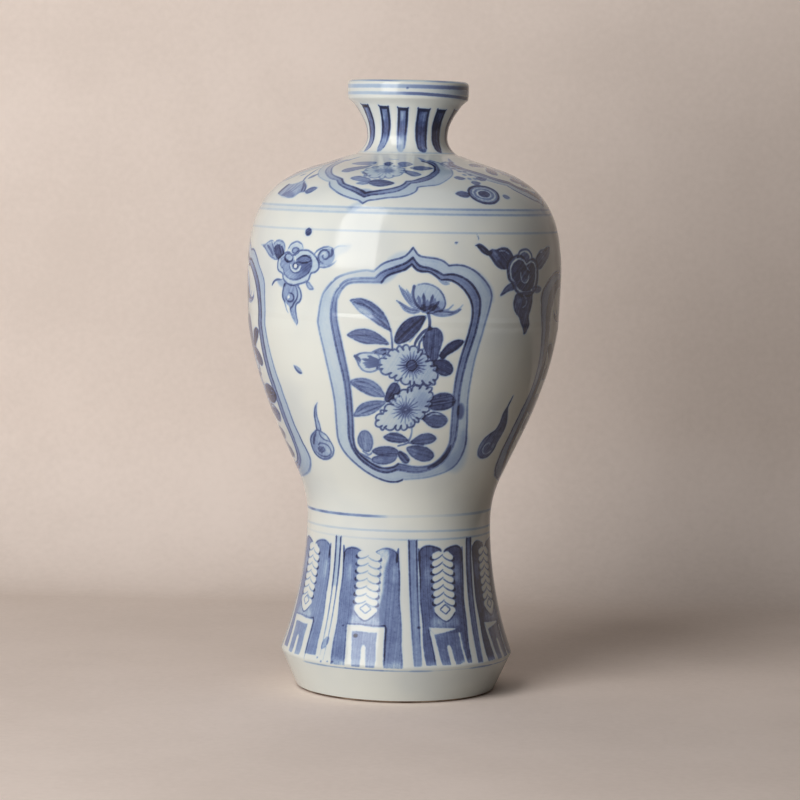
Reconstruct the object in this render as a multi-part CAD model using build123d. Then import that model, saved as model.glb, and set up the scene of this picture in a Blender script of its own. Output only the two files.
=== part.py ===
from build123d import *
import os
from math import cos, radians, sin, sqrt, tan

# A porcelain meiping vase, built as it is made: sections thrown one by one, luted together with slip
# and coated with glaze. Millimetres, axis on Z, standing on z = 0.

# The glazed outline from the foot up. Each rise is counted from the station below it, each radius is
# the glazed outside, and each lean is the wall's slope there, in degrees outward from upright.
FOOT_RING_RADIUS = 44.0
FOOT_BAND_RISE = 16.8
FOOT_BAND_SPREAD = 7.6
FOOT_EDGE_ROUND = 1.5
SKIRT_LEAN = -20.0
WAIST_RISE = 59.3
WAIST_RADIUS = 40.9
FLANK_RISE = 38.4
FLANK_SPREAD = 13.0
FLANK_LEAN = 25.0
SEAM_FOOT_RISE = 46.0
SEAM_FOOT_SPREAD = 14.7
SEAM_FOOT_LEAN = 8.4
SEAM_HEAD_RISE = 3.1
SEAM_HEAD_SPREAD = 0.35
SEAM_HEAD_LEAN = 1.5
BELLY_RISE = 23.4
BELLY_SPREAD = 0.65
SHOULDER_RISE = 14.0
SHOULDER_DRAW = 1.2
SHOULDER_LEAN = -8.4
DOME_RISE = 23.8
DOME_DRAW = 13.4
DOME_LEAN = -54.0
DOME_TOP_RISE = 12.2
DOME_TOP_LEAN = -70.6
NECK_FOOT_RISE = 1.2
NECK_FOOT_DRAW = 3.3
NECK_FOOT_LEAN = -53.0
THROAT_RISE = 7.2
THROAT_DRAW = 4.0
THROAT_RADIUS = 17.7
COLLAR_RISE = 13.5
COLLAR_SPREAD = 5.6
COLLAR_LEAN = 36.0
LIP_UNDERSIDE_RISE = 2.1
LIP_UNDERSIDE_SPREAD = 2.3
LIP_UNDERSIDE_LEAN = 52.0
LIP_FOOT_RISE = 3.2
LIP_FOOT_SPREAD = 1.15
LIP_BAND_RISE = 3.8

# The radii that follow: outward from the foot and the waist, and from the throat down and up
FOOT_EDGE_RADIUS = FOOT_RING_RADIUS + FOOT_BAND_SPREAD
FLANK_RADIUS = WAIST_RADIUS + FLANK_SPREAD
SEAM_FOOT_RADIUS = FLANK_RADIUS + SEAM_FOOT_SPREAD
SEAM_HEAD_RADIUS = SEAM_FOOT_RADIUS + SEAM_HEAD_SPREAD
BELLY_RADIUS = SEAM_HEAD_RADIUS + BELLY_SPREAD
SHOULDER_RADIUS = BELLY_RADIUS - SHOULDER_DRAW
DOME_RADIUS = SHOULDER_RADIUS - DOME_DRAW
NECK_FOOT_RADIUS = THROAT_RADIUS + THROAT_DRAW
DOME_TOP_RADIUS = NECK_FOOT_RADIUS + NECK_FOOT_DRAW
COLLAR_RADIUS = THROAT_RADIUS + COLLAR_SPREAD
LIP_UNDERSIDE_RADIUS = COLLAR_RADIUS + LIP_UNDERSIDE_SPREAD
LIP_RADIUS = LIP_UNDERSIDE_RADIUS + LIP_FOOT_SPREAD

# The lip's width and rounding, and the straight bore of the throat
LIP_WIDTH = 4.75
LIP_ROUND = 2.0
BORE_LENGTH = 6.0

# Thickness of the porcelain wall, of a glaze coat and of a slip joint
WALL = 4.5
GLAZE = 0.4
SLIP = 0.8
SLIP_BEAD_RADIUS = 1.2

# The foot: standing ring, recess under the base and the base disc let in above its ledge
FOOT_RING_WIDTH = 6.5
FOOT_RING_ROUND = 1.2
FOOT_RECESS = 6.0
GLAZE_LINE = 1.8
BASE_THICKNESS = 5.0
INSIDE_CORNER_WIDTH = 6.0

# Where the neck is luted on, above the foot of its outline
NECK_SEAM_RISE = 1.0

# Heights of the stations that other places refer to
WAIST_HEIGHT = FOOT_BAND_RISE + WAIST_RISE
SEAM_FOOT_HEIGHT = WAIST_HEIGHT + FLANK_RISE + SEAM_FOOT_RISE
DOME_TOP_HEIGHT = SEAM_FOOT_HEIGHT + SEAM_HEAD_RISE + BELLY_RISE + SHOULDER_RISE + DOME_RISE + DOME_TOP_RISE
NECK_FOOT_HEIGHT = DOME_TOP_HEIGHT + NECK_FOOT_RISE
LIP_TOP_HEIGHT = (NECK_FOOT_HEIGHT + THROAT_RISE + COLLAR_RISE + LIP_UNDERSIDE_RISE
                  + LIP_FOOT_RISE + LIP_BAND_RISE)
CROWN_HEIGHT = LIP_TOP_HEIGHT + LIP_ROUND
CROWN_RADIUS = LIP_RADIUS - LIP_WIDTH / 2

# Heights of the three luted seams around the wall
WAIST_SEAM = WAIST_HEIGHT
BODY_SEAM = SEAM_FOOT_HEIGHT + SEAM_HEAD_RISE / 2
NECK_SEAM = NECK_FOOT_HEIGHT + NECK_SEAM_RISE

UPWARD = Vector(0, 0, 1)
DOWNWARD = Vector(0, 0, -1)
OUTWARD = Vector(1, 0, 0)
INWARD = Vector(-1, 0, 0)
STRAIGHT = 1e-6


def at(radius, height):
    """A point of the vase's half section."""
    return Vector(radius, 0, height)


def leaning(lean):
    """The upward direction of a wall that leans outward by so many degrees."""
    return Vector(sin(radians(lean)), 0, cos(radians(lean)))


def tangent_arc(start, way, end):
    """An arc that leaves start along way and ends at end, or a line where the two agree."""
    chord = end - start
    if way.cross(chord).length < STRAIGHT * chord.length:
        return Line(start, end)
    return TangentArc(start, end, tangent=way)


def biarc(start, start_way, end, end_way):
    """Two arcs that join smoothly, with a given direction at each end."""
    chord = end - start
    both = start_way + end_way
    bend = 2 * (1 - start_way.dot(end_way))
    along = chord.dot(both)
    if bend < STRAIGHT:
        reach = chord.dot(chord) / (2 * along)
    else:
        reach = (sqrt(along**2 + bend * chord.dot(chord)) - along) / bend
    middle = (start + end + (start_way - end_way) * reach) * 0.5
    first = tangent_arc(start, start_way, middle)
    return [first, tangent_arc(middle, first % 1, end)]


def climb(first, height, *steps):
    """Stations from a first one up, each step a rise, a radius and a lean."""
    stations = [first]
    for rise, radius, lean in steps:
        height += rise
        stations.append((at(radius, height), leaning(lean)))
    return stations


def smooth_chain(stations):
    """The edges through a list of stations, each a point and a direction."""
    edges = []
    for (start, start_way), (end, end_way) in zip(stations, stations[1:]):
        edges += biarc(start, start_way, end, end_way)
    return edges


def beside(edge, share, distance):
    """The point at a share of an edge, moved to the left of its run."""
    way = edge % share
    return edge @ share + Vector(-way.Z, 0, way.X) * distance


def shifted(edges, distance):
    """A smooth chain of lines and arcs, moved to the left of its run."""
    moved = []
    for edge in edges:
        start = beside(edge, 0, distance)
        end = beside(edge, 1, distance)
        if edge.geom_type == GeomType.LINE:
            moved.append(Line(start, end))
        else:
            moved.append(ThreePointArc(start, beside(edge, 0.5, distance), end))
    return moved


def rounded_corner(before, corner, after, radius):
    """Where a rounding leaves the line into a corner and joins the line out of it."""
    turn = before.get_angle(after)
    reach = radius * tan(radians(turn / 2))
    return corner - before * reach, corner + after * reach


def area(*pieces):
    """The face inside a closed run of edges and lists of edges."""
    edges = []
    for piece in pieces:
        edges += piece if isinstance(piece, list) else [piece]
    return make_face(edges)


def rectangle(inner, outer, low, high):
    """A rectangle of the half section."""
    corners = [at(inner, low), at(outer, low), at(outer, high), at(inner, high)]
    return make_face(Polyline(*corners, close=True))


def slab(low, high):
    """The part of the half section between two heights."""
    return rectangle(0, BELLY_RADIUS + FOOT_EDGE_RADIUS, low, high)


def disc(centre, radius):
    """A round spot of the half section."""
    return make_face(Edge.make_circle(radius, Plane(centre, z_dir=(0, -1, 0))))


def turned(face):
    """The solid that a face of the half section makes as the wheel turns once."""
    return revolve(face, axis=Axis.Z, revolution_arc=360)


# The foot's bevelled band, and the rounding of the edge above it
foot_corner = at(FOOT_RING_RADIUS, 0)
foot_edge = at(FOOT_EDGE_RADIUS, FOOT_BAND_RISE)
band_way = (foot_edge - foot_corner).normalized()
skirt_way = leaning(SKIRT_LEAN)
edge_start, edge_end = rounded_corner(band_way, foot_edge, skirt_way, FOOT_EDGE_ROUND)
band_start = foot_corner + band_way * (GLAZE_LINE / band_way.Z)
band_skin = Line(band_start, edge_start)
edge_skin = tangent_arc(edge_start, band_way, edge_end)

# The glazed outline above the foot's edge: up the body to the throat, and up the collar to the lip
throat = (at(THROAT_RADIUS, NECK_FOOT_HEIGHT + THROAT_RISE), UPWARD)
body_stations = climb(
    (edge_end, skirt_way),
    FOOT_BAND_RISE,
    (WAIST_RISE, WAIST_RADIUS, 0),
    (FLANK_RISE, FLANK_RADIUS, FLANK_LEAN),
    (SEAM_FOOT_RISE, SEAM_FOOT_RADIUS, SEAM_FOOT_LEAN),
    (SEAM_HEAD_RISE, SEAM_HEAD_RADIUS, SEAM_HEAD_LEAN),
    (BELLY_RISE, BELLY_RADIUS, 0),
    (SHOULDER_RISE, SHOULDER_RADIUS, SHOULDER_LEAN),
    (DOME_RISE, DOME_RADIUS, DOME_LEAN),
    (DOME_TOP_RISE, DOME_TOP_RADIUS, DOME_TOP_LEAN),
    (NECK_FOOT_RISE, NECK_FOOT_RADIUS, NECK_FOOT_LEAN),
)
collar_stations = climb(
    throat,
    throat[0].Z,
    (COLLAR_RISE, COLLAR_RADIUS, COLLAR_LEAN),
    (LIP_UNDERSIDE_RISE, LIP_UNDERSIDE_RADIUS, LIP_UNDERSIDE_LEAN),
    (LIP_FOOT_RISE, LIP_RADIUS, 0),
    (LIP_BAND_RISE, LIP_RADIUS, 0),
)
body_skin = smooth_chain(body_stations + [throat])
collar_skin = smooth_chain(collar_stations)

# The crown of the lip, half of it on the outside and half on the inside
crown = at(CROWN_RADIUS, CROWN_HEIGHT)
crown_outer = at(LIP_RADIUS - LIP_ROUND, CROWN_HEIGHT)
crown_inner = at(LIP_RADIUS - LIP_WIDTH + LIP_ROUND, CROWN_HEIGHT)
lip_outer = at(LIP_RADIUS, LIP_TOP_HEIGHT)
lip_inner = at(LIP_RADIUS - LIP_WIDTH, LIP_TOP_HEIGHT)
outer_crown_skin = [tangent_arc(lip_outer, UPWARD, crown_outer), Line(crown_outer, crown)]
inner_crown_skin = [Line(crown, crown_inner), tangent_arc(crown_inner, INWARD, lip_inner)]

# The outside of the porcelain lies one glaze coat inside the glazed outline
outer_skin = [band_skin, edge_skin] + body_skin + collar_skin + outer_crown_skin
outer_clay = shifted(outer_skin, GLAZE)

# The inside of the porcelain: the floor, the corner over the base's seat, the wall and the neck
body_lining = shifted(body_skin, GLAZE + WALL)
floor_height = FOOT_RECESS + SLIP + BASE_THICKNESS
corner_end = body_lining[0] @ 0
seat_radius = corner_end.X - INSIDE_CORNER_WIDTH
seat_edge = at(seat_radius, floor_height)
floor_lining = Line(at(0, floor_height), seat_edge)
corner_lining = biarc(seat_edge, OUTWARD, corner_end, body_lining[0] % 0)
bore_foot = body_lining[-1] @ 1
bore_head = bore_foot + UPWARD * BORE_LENGTH
bore_lining = Line(bore_foot, bore_head)
crown_clay = shifted(inner_crown_skin, GLAZE)
mouth_lining = biarc(bore_head, UPWARD, crown_clay[-1] @ 1, UPWARD)
rising_lining = corner_lining + body_lining + [bore_lining] + mouth_lining

# The porcelain's half section, with its standing ring and the ledge for the base disc
ring_inner = FOOT_RING_RADIUS - FOOT_RING_WIDTH
clay_band_start = outer_clay[0] @ 0
clay_corner = clay_band_start - band_way * (clay_band_start.Z / band_way.Z)
ring_leave, ring_join = rounded_corner(OUTWARD, clay_corner, band_way, FOOT_RING_ROUND)
inner_leave, inner_join = rounded_corner(DOWNWARD, at(ring_inner, 0), OUTWARD, FOOT_RING_ROUND)
standing_face = Line(inner_join, ring_leave)
ring_outside = [tangent_arc(ring_leave, OUTWARD, ring_join), Line(ring_join, clay_band_start)]
ledge = [
    Line(seat_edge, at(seat_radius, FOOT_RECESS)),
    Line(at(seat_radius, FOOT_RECESS), at(ring_inner, FOOT_RECESS)),
    Line(at(ring_inner, FOOT_RECESS), inner_leave),
    tangent_arc(inner_leave, DOWNWARD, inner_join),
]
wall = area(standing_face, ring_outside, outer_clay, crown_clay, rising_lining, ledge)

# Each seam: the slip between two sections and the bead squeezed out inside the vase
seam_slip = {}
bead_glaze = []
bead_slip = []
for name, height in (("neck", NECK_SEAM), ("body", BODY_SEAM), ("waist", WAIST_SEAM)):
    layer = wall & slab(height - SLIP / 2, height + SLIP / 2)
    inside = layer.bounding_box()
    centre = at(inside.min.X + SLIP / 2, height)
    bead = disc(centre, SLIP_BEAD_RADIUS) - wall
    seam_slip[name] = layer + bead
    bead_slip.append(bead)
    bead_glaze.append(disc(centre, SLIP_BEAD_RADIUS + GLAZE) - wall)

# The glaze coats
outer_coat = area(
    outer_skin,
    Line(outer_skin[-1] @ 1, outer_clay[-1] @ 1),
    outer_clay,
    Line(band_start, clay_band_start),
)
inner_clay = [floor_lining] + rising_lining
inner_skin = shifted(inner_clay, GLAZE)
inner_coat = area(
    inner_clay,
    crown_clay,
    inner_crown_skin,
    Line(crown, crown_clay[0] @ 0),
    inner_skin,
    Line(at(0, floor_height), inner_skin[0] @ 0),
)
for coat, bead in zip(bead_glaze, bead_slip):
    inner_coat = inner_coat + coat - bead
underside = FOOT_RECESS + SLIP
base_coat = rectangle(0, ring_inner, underside - GLAZE, underside)
base_coat = base_coat + rectangle(ring_inner - GLAZE, ring_inner, GLAZE_LINE, underside)

# The base disc, and the slip under its edge and around it
disc_radius = seat_radius - SLIP
base_slip = rectangle(ring_inner, seat_radius, FOOT_RECESS, underside)
base_slip = base_slip + rectangle(disc_radius, seat_radius, FOOT_RECESS, floor_height)

sections = {
    "foot_skirt": wall & slab(0, WAIST_SEAM - SLIP / 2),
    "lower_body": wall & slab(WAIST_SEAM + SLIP / 2, BODY_SEAM - SLIP / 2),
    "upper_body": wall & slab(BODY_SEAM + SLIP / 2, NECK_SEAM - SLIP / 2),
    "neck_and_lip": wall & slab(NECK_SEAM + SLIP / 2, CROWN_HEIGHT),
    "base_disc": rectangle(0, disc_radius, underside, floor_height),
    "waist_slip_joint": seam_slip["waist"],
    "body_slip_joint": seam_slip["body"],
    "neck_slip_joint": seam_slip["neck"],
    "base_slip_joint": base_slip,
    "outer_glaze": outer_coat,
    "inner_glaze": inner_coat,
    "base_glaze": base_coat,
}

os.makedirs("parts", exist_ok=True)
for node, face in sections.items():
    export_step(turned(face), f"parts/{node}.step")
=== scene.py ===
from math import atan, atan2, cos, degrees, hypot, pi, radians, sin, tan

import bpy
import numpy as np
from mathutils import Matrix, Vector


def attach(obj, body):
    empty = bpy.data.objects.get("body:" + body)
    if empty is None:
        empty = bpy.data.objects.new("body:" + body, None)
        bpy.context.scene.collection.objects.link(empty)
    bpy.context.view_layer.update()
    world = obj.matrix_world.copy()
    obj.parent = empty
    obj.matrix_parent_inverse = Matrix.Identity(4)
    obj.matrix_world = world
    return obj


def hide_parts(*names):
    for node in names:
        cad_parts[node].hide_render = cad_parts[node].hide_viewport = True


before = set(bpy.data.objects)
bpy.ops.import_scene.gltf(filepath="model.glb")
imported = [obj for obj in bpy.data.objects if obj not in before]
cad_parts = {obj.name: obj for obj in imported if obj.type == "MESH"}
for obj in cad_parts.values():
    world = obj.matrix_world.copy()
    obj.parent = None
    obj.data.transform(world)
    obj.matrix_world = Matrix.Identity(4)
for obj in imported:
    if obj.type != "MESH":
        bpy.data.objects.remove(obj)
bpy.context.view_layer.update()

MM = 0.001

# Outline of the glazed outside, in millimetres: radius, height and lean from upright of each station
FOOT_RING_RADIUS = 44.0
FOOT_EDGE_RADIUS = 51.6
FOOT_EDGE_HEIGHT = 16.8
FOOT_EDGE_ROUND = 1.5
SKIRT_LEAN = -20.0
GLAZE_LINE = 1.0
BODY_STATIONS = [
    (40.9, 76.1, 0.0),
    (53.9, 114.5, 25.0),
    (68.6, 160.5, 8.4),
    (68.95, 163.6, 1.5),
    (69.6, 187.0, 0.0),
    (68.4, 201.0, -8.4),
    (55.0, 224.8, -54.0),
    (25.0, 237.0, -70.6),
    (21.7, 238.2, -53.0),
    (17.7, 245.4, 0.0),
    (23.3, 258.9, 36.0),
    (25.9, 261.4, 50.0),
    (26.55, 262.3, 6.0),
    (26.75, 264.2, 0.0),
    (26.75, 268.0, 0.0),
]
LIP_ROUND = 2.0
LIP_WIDTH = 4.75
CROWN_HEIGHT = 270.0
COAT = 0.4

# Zones of the coat: name, lower and upper height, steps round the turn, row pitch
ZONES = [
    ("glaze_coat_foot", GLAZE_LINE, 44.0, 700, 0.48),
    ("glaze_coat_lappets", 44.0, 88.0, 640, 0.48),
    ("glaze_coat_lower_body", 88.0, 148.0, 780, 0.58),
    ("glaze_coat_barrel", 148.0, 203.0, 860, 0.56),
    ("glaze_coat_shoulder", 203.0, 237.0, 800, 0.62),
    ("glaze_coat_neck", 237.0, CROWN_HEIGHT, 460, 0.45),
]
WOBBLE = 0.10
WOBBLE_LENGTH = 45.0
# How little a stretch may turn to count as straight, and how close two points may lie to count as one
STRAIGHT_TURN = 1e-6
STRAIGHT_BEND = 1e-9
SAME_POINT = 1e-6


def heading(lean):
    """Direction along the outline for a lean from upright, positive outwards."""
    return np.array([sin(radians(lean)), cos(radians(lean))])


def arc_points(start, along, end, pitch):
    """Points of the arc that leaves start along a heading and passes through end."""
    chord = end - start
    length = hypot(*chord)
    turn = 2 * atan2(along[0] * chord[1] - along[1] * chord[0], along @ chord)
    steps = max(2, int(length / pitch))
    share = np.linspace(0, 1, steps + 1)[1:, None]
    if abs(turn) < STRAIGHT_TURN:
        return start + share * chord
    side = np.array([-along[1], along[0]])
    radius = length / (2 * sin(turn / 2))
    swept = share * turn
    return start + radius * (np.sin(swept) * along + (1 - np.cos(swept)) * side)


def smooth_joint(start, end, lean_start, lean_end, pitch):
    """Two tangent arcs that join two stations of the outline."""
    t0, t1 = heading(lean_start), heading(lean_end)
    chord = end - start
    along = chord @ (t0 + t1)
    bend = 2 * (1 - t0 @ t1)
    if bend < STRAIGHT_BEND:
        reach = chord @ chord / (2 * along)
    else:
        reach = (np.sqrt(along**2 + bend * chord @ chord) - along) / bend
    middle = (start + end + (t0 - t1) * reach) / 2
    first = arc_points(start, t0, middle, pitch)
    back = arc_points(end, -t1, middle, pitch)
    return np.vstack([first, back[::-1][1:], end])


def trace_outline(pitch=0.05):
    """The outside from the glaze line to the crown of the lip, as closely spaced points."""
    band_lean = degrees(atan((FOOT_EDGE_RADIUS - FOOT_RING_RADIUS) / FOOT_EDGE_HEIGHT))
    edge = np.array([FOOT_EDGE_RADIUS, FOOT_EDGE_HEIGHT])
    setback = FOOT_EDGE_ROUND * tan(radians(band_lean - SKIRT_LEAN) / 2)
    below = edge - setback * heading(band_lean)
    above = edge + setback * heading(SKIRT_LEAN)
    line_radius = FOOT_RING_RADIUS + GLAZE_LINE * tan(radians(band_lean))
    crown_outer = BODY_STATIONS[-1][0] - LIP_ROUND
    crown_middle = BODY_STATIONS[-1][0] - LIP_WIDTH / 2
    stations = [(line_radius, GLAZE_LINE, band_lean), (*below, band_lean), (*above, SKIRT_LEAN)]
    stations += BODY_STATIONS
    stations += [(crown_outer, CROWN_HEIGHT, -90.0), (crown_middle, CROWN_HEIGHT, -90.0)]
    pieces = [np.array([stations[0][:2]])]
    for low, high in zip(stations, stations[1:]):
        start, end = np.array(low[:2]), np.array(high[:2])
        pieces.append(smooth_joint(start, end, low[2], high[2], pitch))
    return np.vstack(pieces)


OUTLINE = trace_outline()
STEP_LENGTHS = np.hypot(*np.diff(OUTLINE, axis=0).T)
OUTLINE = OUTLINE[np.concatenate([[True], STEP_LENGTHS > SAME_POINT])]
REACH = np.concatenate([[0], np.cumsum(np.hypot(*np.diff(OUTLINE, axis=0).T))])
REACH += hypot(OUTLINE[0][0] - FOOT_RING_RADIUS, GLAZE_LINE)
HEADING = np.gradient(OUTLINE, REACH, axis=0)
OUTWARD = np.column_stack([HEADING[:, 1], -HEADING[:, 0]])
OUTWARD /= np.hypot(*OUTWARD.T)[:, None]


def along_outline(reach):
    """Radius and height at a distance along the outline."""
    return np.column_stack([np.interp(reach, REACH, OUTLINE[:, axis]) for axis in (0, 1)])


def outward_at(reach):
    """Outward direction at a distance along the outline."""
    return np.column_stack([np.interp(reach, REACH, OUTWARD[:, axis]) for axis in (0, 1)])


def reach_at_height(height):
    """Distance along the outline at a height below the crown."""
    return float(np.interp(height, OUTLINE[:, 1], REACH))


class Socket:
    """A node output that takes part in Python arithmetic."""

    def __init__(self, tree, socket):
        self.tree = tree
        self.socket = socket

    def __add__(self, other):
        return self.tree.math("ADD", self, other)

    def __radd__(self, other):
        return self.tree.math("ADD", other, self)

    def __sub__(self, other):
        return self.tree.math("SUBTRACT", self, other)

    def __rsub__(self, other):
        return self.tree.math("SUBTRACT", other, self)

    def __mul__(self, other):
        return self.tree.math("MULTIPLY", self, other)

    def __rmul__(self, other):
        return self.tree.math("MULTIPLY", other, self)

    def __truediv__(self, other):
        return self.tree.math("DIVIDE", self, other)

    def __rtruediv__(self, other):
        return self.tree.math("DIVIDE", other, self)

    def most(self, other):
        """The greater of two values."""
        return self.tree.math("MAXIMUM", self, other)

    def step(self, low, high):
        """0 below low, 1 above high, with a smooth rise between."""
        settings = {"interpolation_type": "SMOOTHSTEP"}
        sockets = {"Value": self, "From Min": low, "From Max": high}
        return self.tree.node("ShaderNodeMapRange", settings, sockets)


class Tree:
    """A node tree, with one method that adds any node and one for sums."""

    def __init__(self, tree):
        self.tree = tree

    def node(self, kind, settings=None, sockets=None, out=0):
        """Adds a node, with its settings and its sockets' values or links, and returns one output."""
        added = self.tree.nodes.new(kind)
        for key, value in (settings or {}).items():
            if key == "stops":
                self.set_stops(added.color_ramp, value)
            else:
                setattr(added, key, value)
        named = sockets or {}
        for key, value in (enumerate(named) if isinstance(named, list) else named.items()):
            if isinstance(value, Socket):
                self.tree.links.new(value.socket, added.inputs[key])
            else:
                added.inputs[key].default_value = value
        return Socket(self, added.outputs[out]) if added.outputs else added

    def math(self, operation, *terms):
        """Adds a Math node on values and sockets."""
        return self.node("ShaderNodeMath", {"operation": operation}, list(terms))

    @staticmethod
    def set_stops(ramp, stops):
        """Sets the places and colours of a colour ramp."""
        while len(ramp.elements) < len(stops):
            ramp.elements.new(1.0)
        for element, (position, colour) in zip(ramp.elements, stops):
            element.position = position
            element.color = (*colour, 1.0)


class Finish(Tree):
    """A material that is built from nodes."""

    def __init__(self, name):
        self.material = bpy.data.materials.new(name)
        self.material.use_nodes = True
        self.material.node_tree.nodes.clear()
        super().__init__(self.material.node_tree)

    def place(self):
        """The place on the piece, in metres."""
        return self.node("ShaderNodeTexCoord", out="Object")

    def noise(self, vector, scale, detail, roughness=0.5):
        """Soft random values from 0 to 1, at so many marks to a metre."""
        sockets = {"Vector": vector, "Scale": scale, "Detail": detail, "Roughness": roughness}
        return self.node("ShaderNodeTexNoise", None, sockets)

    def stretched(self, vector, scale):
        """A place scaled along each axis."""
        return self.node("ShaderNodeVectorMath", {"operation": "MULTIPLY"}, [vector, scale])

    def attribute(self, name):
        """A value kept on the vertices."""
        return self.node("ShaderNodeAttribute", {"attribute_name": name}, out="Fac")

    def mix(self, share, first, second, blend="MIX"):
        """Two colours mixed: sockets 6 and 7 are the colour inputs, and output 2 is the colour."""
        settings = {"data_type": "RGBA", "blend_type": blend}
        colours = [c if isinstance(c, Socket) else (*c, 1.0) for c in (first, second)]
        return self.node("ShaderNodeMix", settings, {0: share, 6: colours[0], 7: colours[1]}, out=2)

    def bump(self, height, strength, distance):
        """A normal that follows a small relief."""
        sockets = {"Height": height, "Strength": strength, "Distance": distance}
        return self.node("ShaderNodeBump", None, sockets)

    def surface(self, **sockets):
        """Ends the material in one surface, with socket names written with underscores."""
        named = {key.replace("_", " "): value for key, value in sockets.items()}
        shader = self.node("ShaderNodeBsdfPrincipled", None, named)
        self.node("ShaderNodeOutputMaterial", None, {"Surface": shader})
        return self.material


# Cobalt seen through the glaze, from a thin wash to heaped strokes, as shares of the light that returns
COBALT_FULL = 3.2
COBALT_STOPS = [
    (0.0, (1.0, 1.0, 1.0)),
    (0.4, (0.66, 0.78, 0.96)),
    (0.8, (0.43, 0.55, 0.83)),
    (1.2, (0.28, 0.37, 0.67)),
    (1.8, (0.145, 0.195, 0.43)),
    (2.5, (0.064, 0.084, 0.225)),
    (3.2, (0.030, 0.036, 0.090)),
]
DUCK_EGG = (0.735, 0.752, 0.716)
DUCK_EGG_POOLED = (0.640, 0.672, 0.672)
BISCUIT = (0.36, 0.27, 0.20)
SCORCHED = (0.13, 0.075, 0.045)
# Patterns in glaze and paste, in marks to a metre, and where their soft edges lie
BLEED = 700.0
BLOTS = 130.0
CLOUDS = 30.0
CLOUD_EDGE = (0.35, 0.75)
ORANGE_PEEL = 260.0
GRIT = 1500.0
GRIT_EDGE = (0.60, 0.72)
THROWING_RINGS = (6.0, 6.0, 170.0)
SCORCHES = 90.0
SCORCH_EDGE = (0.35, 0.65)
# How a brush mark sets in, by the distance in millimetres from its edge
LINE_EDGE = (-0.30, 0.28)
WASH_EDGE = (-0.40, 0.35)
LINE_HALO = (-1.3, 0.0)
WASH_HALO = (-1.6, 0.0)
# The ridge where two thrown sections meet, in millimetres, and the depth of the relief in metres
SEAM_HEIGHT = 167.6
SEAM_TILT = 0.017
SEAM_HALF_WIDTH = 2.4
SEAM_RELIEF = 6.5
RING_RELIEF = 0.8
GLAZE_RELIEF = 0.0006
PASTE_RELIEF = 0.0004
GLAZE_IOR = 1.5


def painted_glaze():
    """Glossy duck-egg glaze over cobalt brushwork."""
    finish = Finish("painted_duck_egg_glaze")
    place = finish.place()
    bleed = finish.noise(place, BLEED, 2.0) - 0.5
    blots = finish.noise(place, BLOTS, 3.0) - 0.5
    cloud = finish.noise(place, CLOUDS, 2.0)
    specks = finish.noise(place, GRIT, 1.0).step(*GRIT_EDGE)
    line_reach, line_tone = finish.attribute("line_reach"), finish.attribute("line_tone")
    wash_reach, wash_tone = finish.attribute("wash_reach"), finish.attribute("wash_tone")
    marks = {"W": finish.attribute("wash_grain") + blots * 0.6, "Scale": 1.0, "Detail": 2.0}
    streaks = finish.node("ShaderNodeTexNoise", {"noise_dimensions": "1D"}, marks) - 0.5
    line = (line_reach + bleed * 0.25).step(*LINE_EDGE)
    wash = (wash_reach + bleed * 0.40).step(*WASH_EDGE)
    halo = line_reach.step(*LINE_HALO) * line_tone * 0.04 + wash_reach.step(*WASH_HALO) * wash_tone * 0.06
    blotted = 1.0 + blots * 0.6
    brushed = blotted + bleed * 0.5 + streaks * 0.75 + specks * 0.2
    density = line * line_tone * blotted + wash * wash_tone * brushed
    density = density + halo + finish.attribute("pooled") * blotted
    stops = [(depth / COBALT_FULL, share) for depth, share in COBALT_STOPS]
    cobalt = finish.node("ShaderNodeValToRGB", {"stops": stops}, {"Fac": density / COBALT_FULL})
    glaze = finish.mix(cloud.step(*CLOUD_EDGE), DUCK_EGG, DUCK_EGG_POOLED)
    colour = finish.mix(1.0, glaze, cobalt, "MULTIPLY")
    orange_peel = finish.noise(place, ORANGE_PEEL, 2.0)
    rings = finish.noise(finish.stretched(place, THROWING_RINGS), 1.0, 2.0)
    across = finish.node("ShaderNodeSeparateXYZ", None, [place], out="X")
    upward = finish.node("ShaderNodeSeparateXYZ", None, [place], out="Z")
    seam = ((upward + across * SEAM_TILT) / MM - SEAM_HEIGHT) / SEAM_HALF_WIDTH
    ridge = (1.0 - seam * seam).most(0.0)
    height = orange_peel + rings * RING_RELIEF + ridge * ridge * SEAM_RELIEF
    relief = finish.bump(height, 0.10, GLAZE_RELIEF)
    gloss = 0.07 + cloud * 0.05
    return finish.surface(Base_Color=colour, Roughness=gloss, Normal=relief, IOR=GLAZE_IOR)


def plain_glaze(name):
    """The same glaze where nothing is painted, inside the vase and under its foot."""
    finish = Finish(name)
    place = finish.place()
    cloud = finish.noise(place, CLOUDS, 2.0)
    colour = finish.mix(cloud.step(*CLOUD_EDGE), DUCK_EGG, DUCK_EGG_POOLED)
    relief = finish.bump(finish.noise(place, ORANGE_PEEL, 2.0), 0.12, GLAZE_RELIEF)
    gloss = 0.14 + cloud * 0.08
    return finish.surface(Base_Color=colour, Roughness=gloss, Normal=relief, IOR=GLAZE_IOR)


def bare_paste(name):
    """Unglazed porcelain, scorched orange-brown where the fire reached it."""
    finish = Finish(name)
    place = finish.place()
    scorch = finish.noise(place, SCORCHES, 4.0).step(*SCORCH_EDGE)
    grain = finish.noise(place, GRIT, 3.0)
    colour = finish.mix(scorch, BISCUIT, SCORCHED)
    relief = finish.bump(grain, 0.35, PASTE_RELIEF)
    return finish.surface(Base_Color=colour, Roughness=0.72 + grain * 0.15, Normal=relief)


# Making the coat, in millimetres and degrees, but the merge gap in metres
RIM_ROWS = (0.08, 0.25)
HIDDEN_PITCH = 4.0
HIDDEN_ROWS = 8
SHARP_EDGE = 50.0
MERGE_GAP = 2e-6


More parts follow.
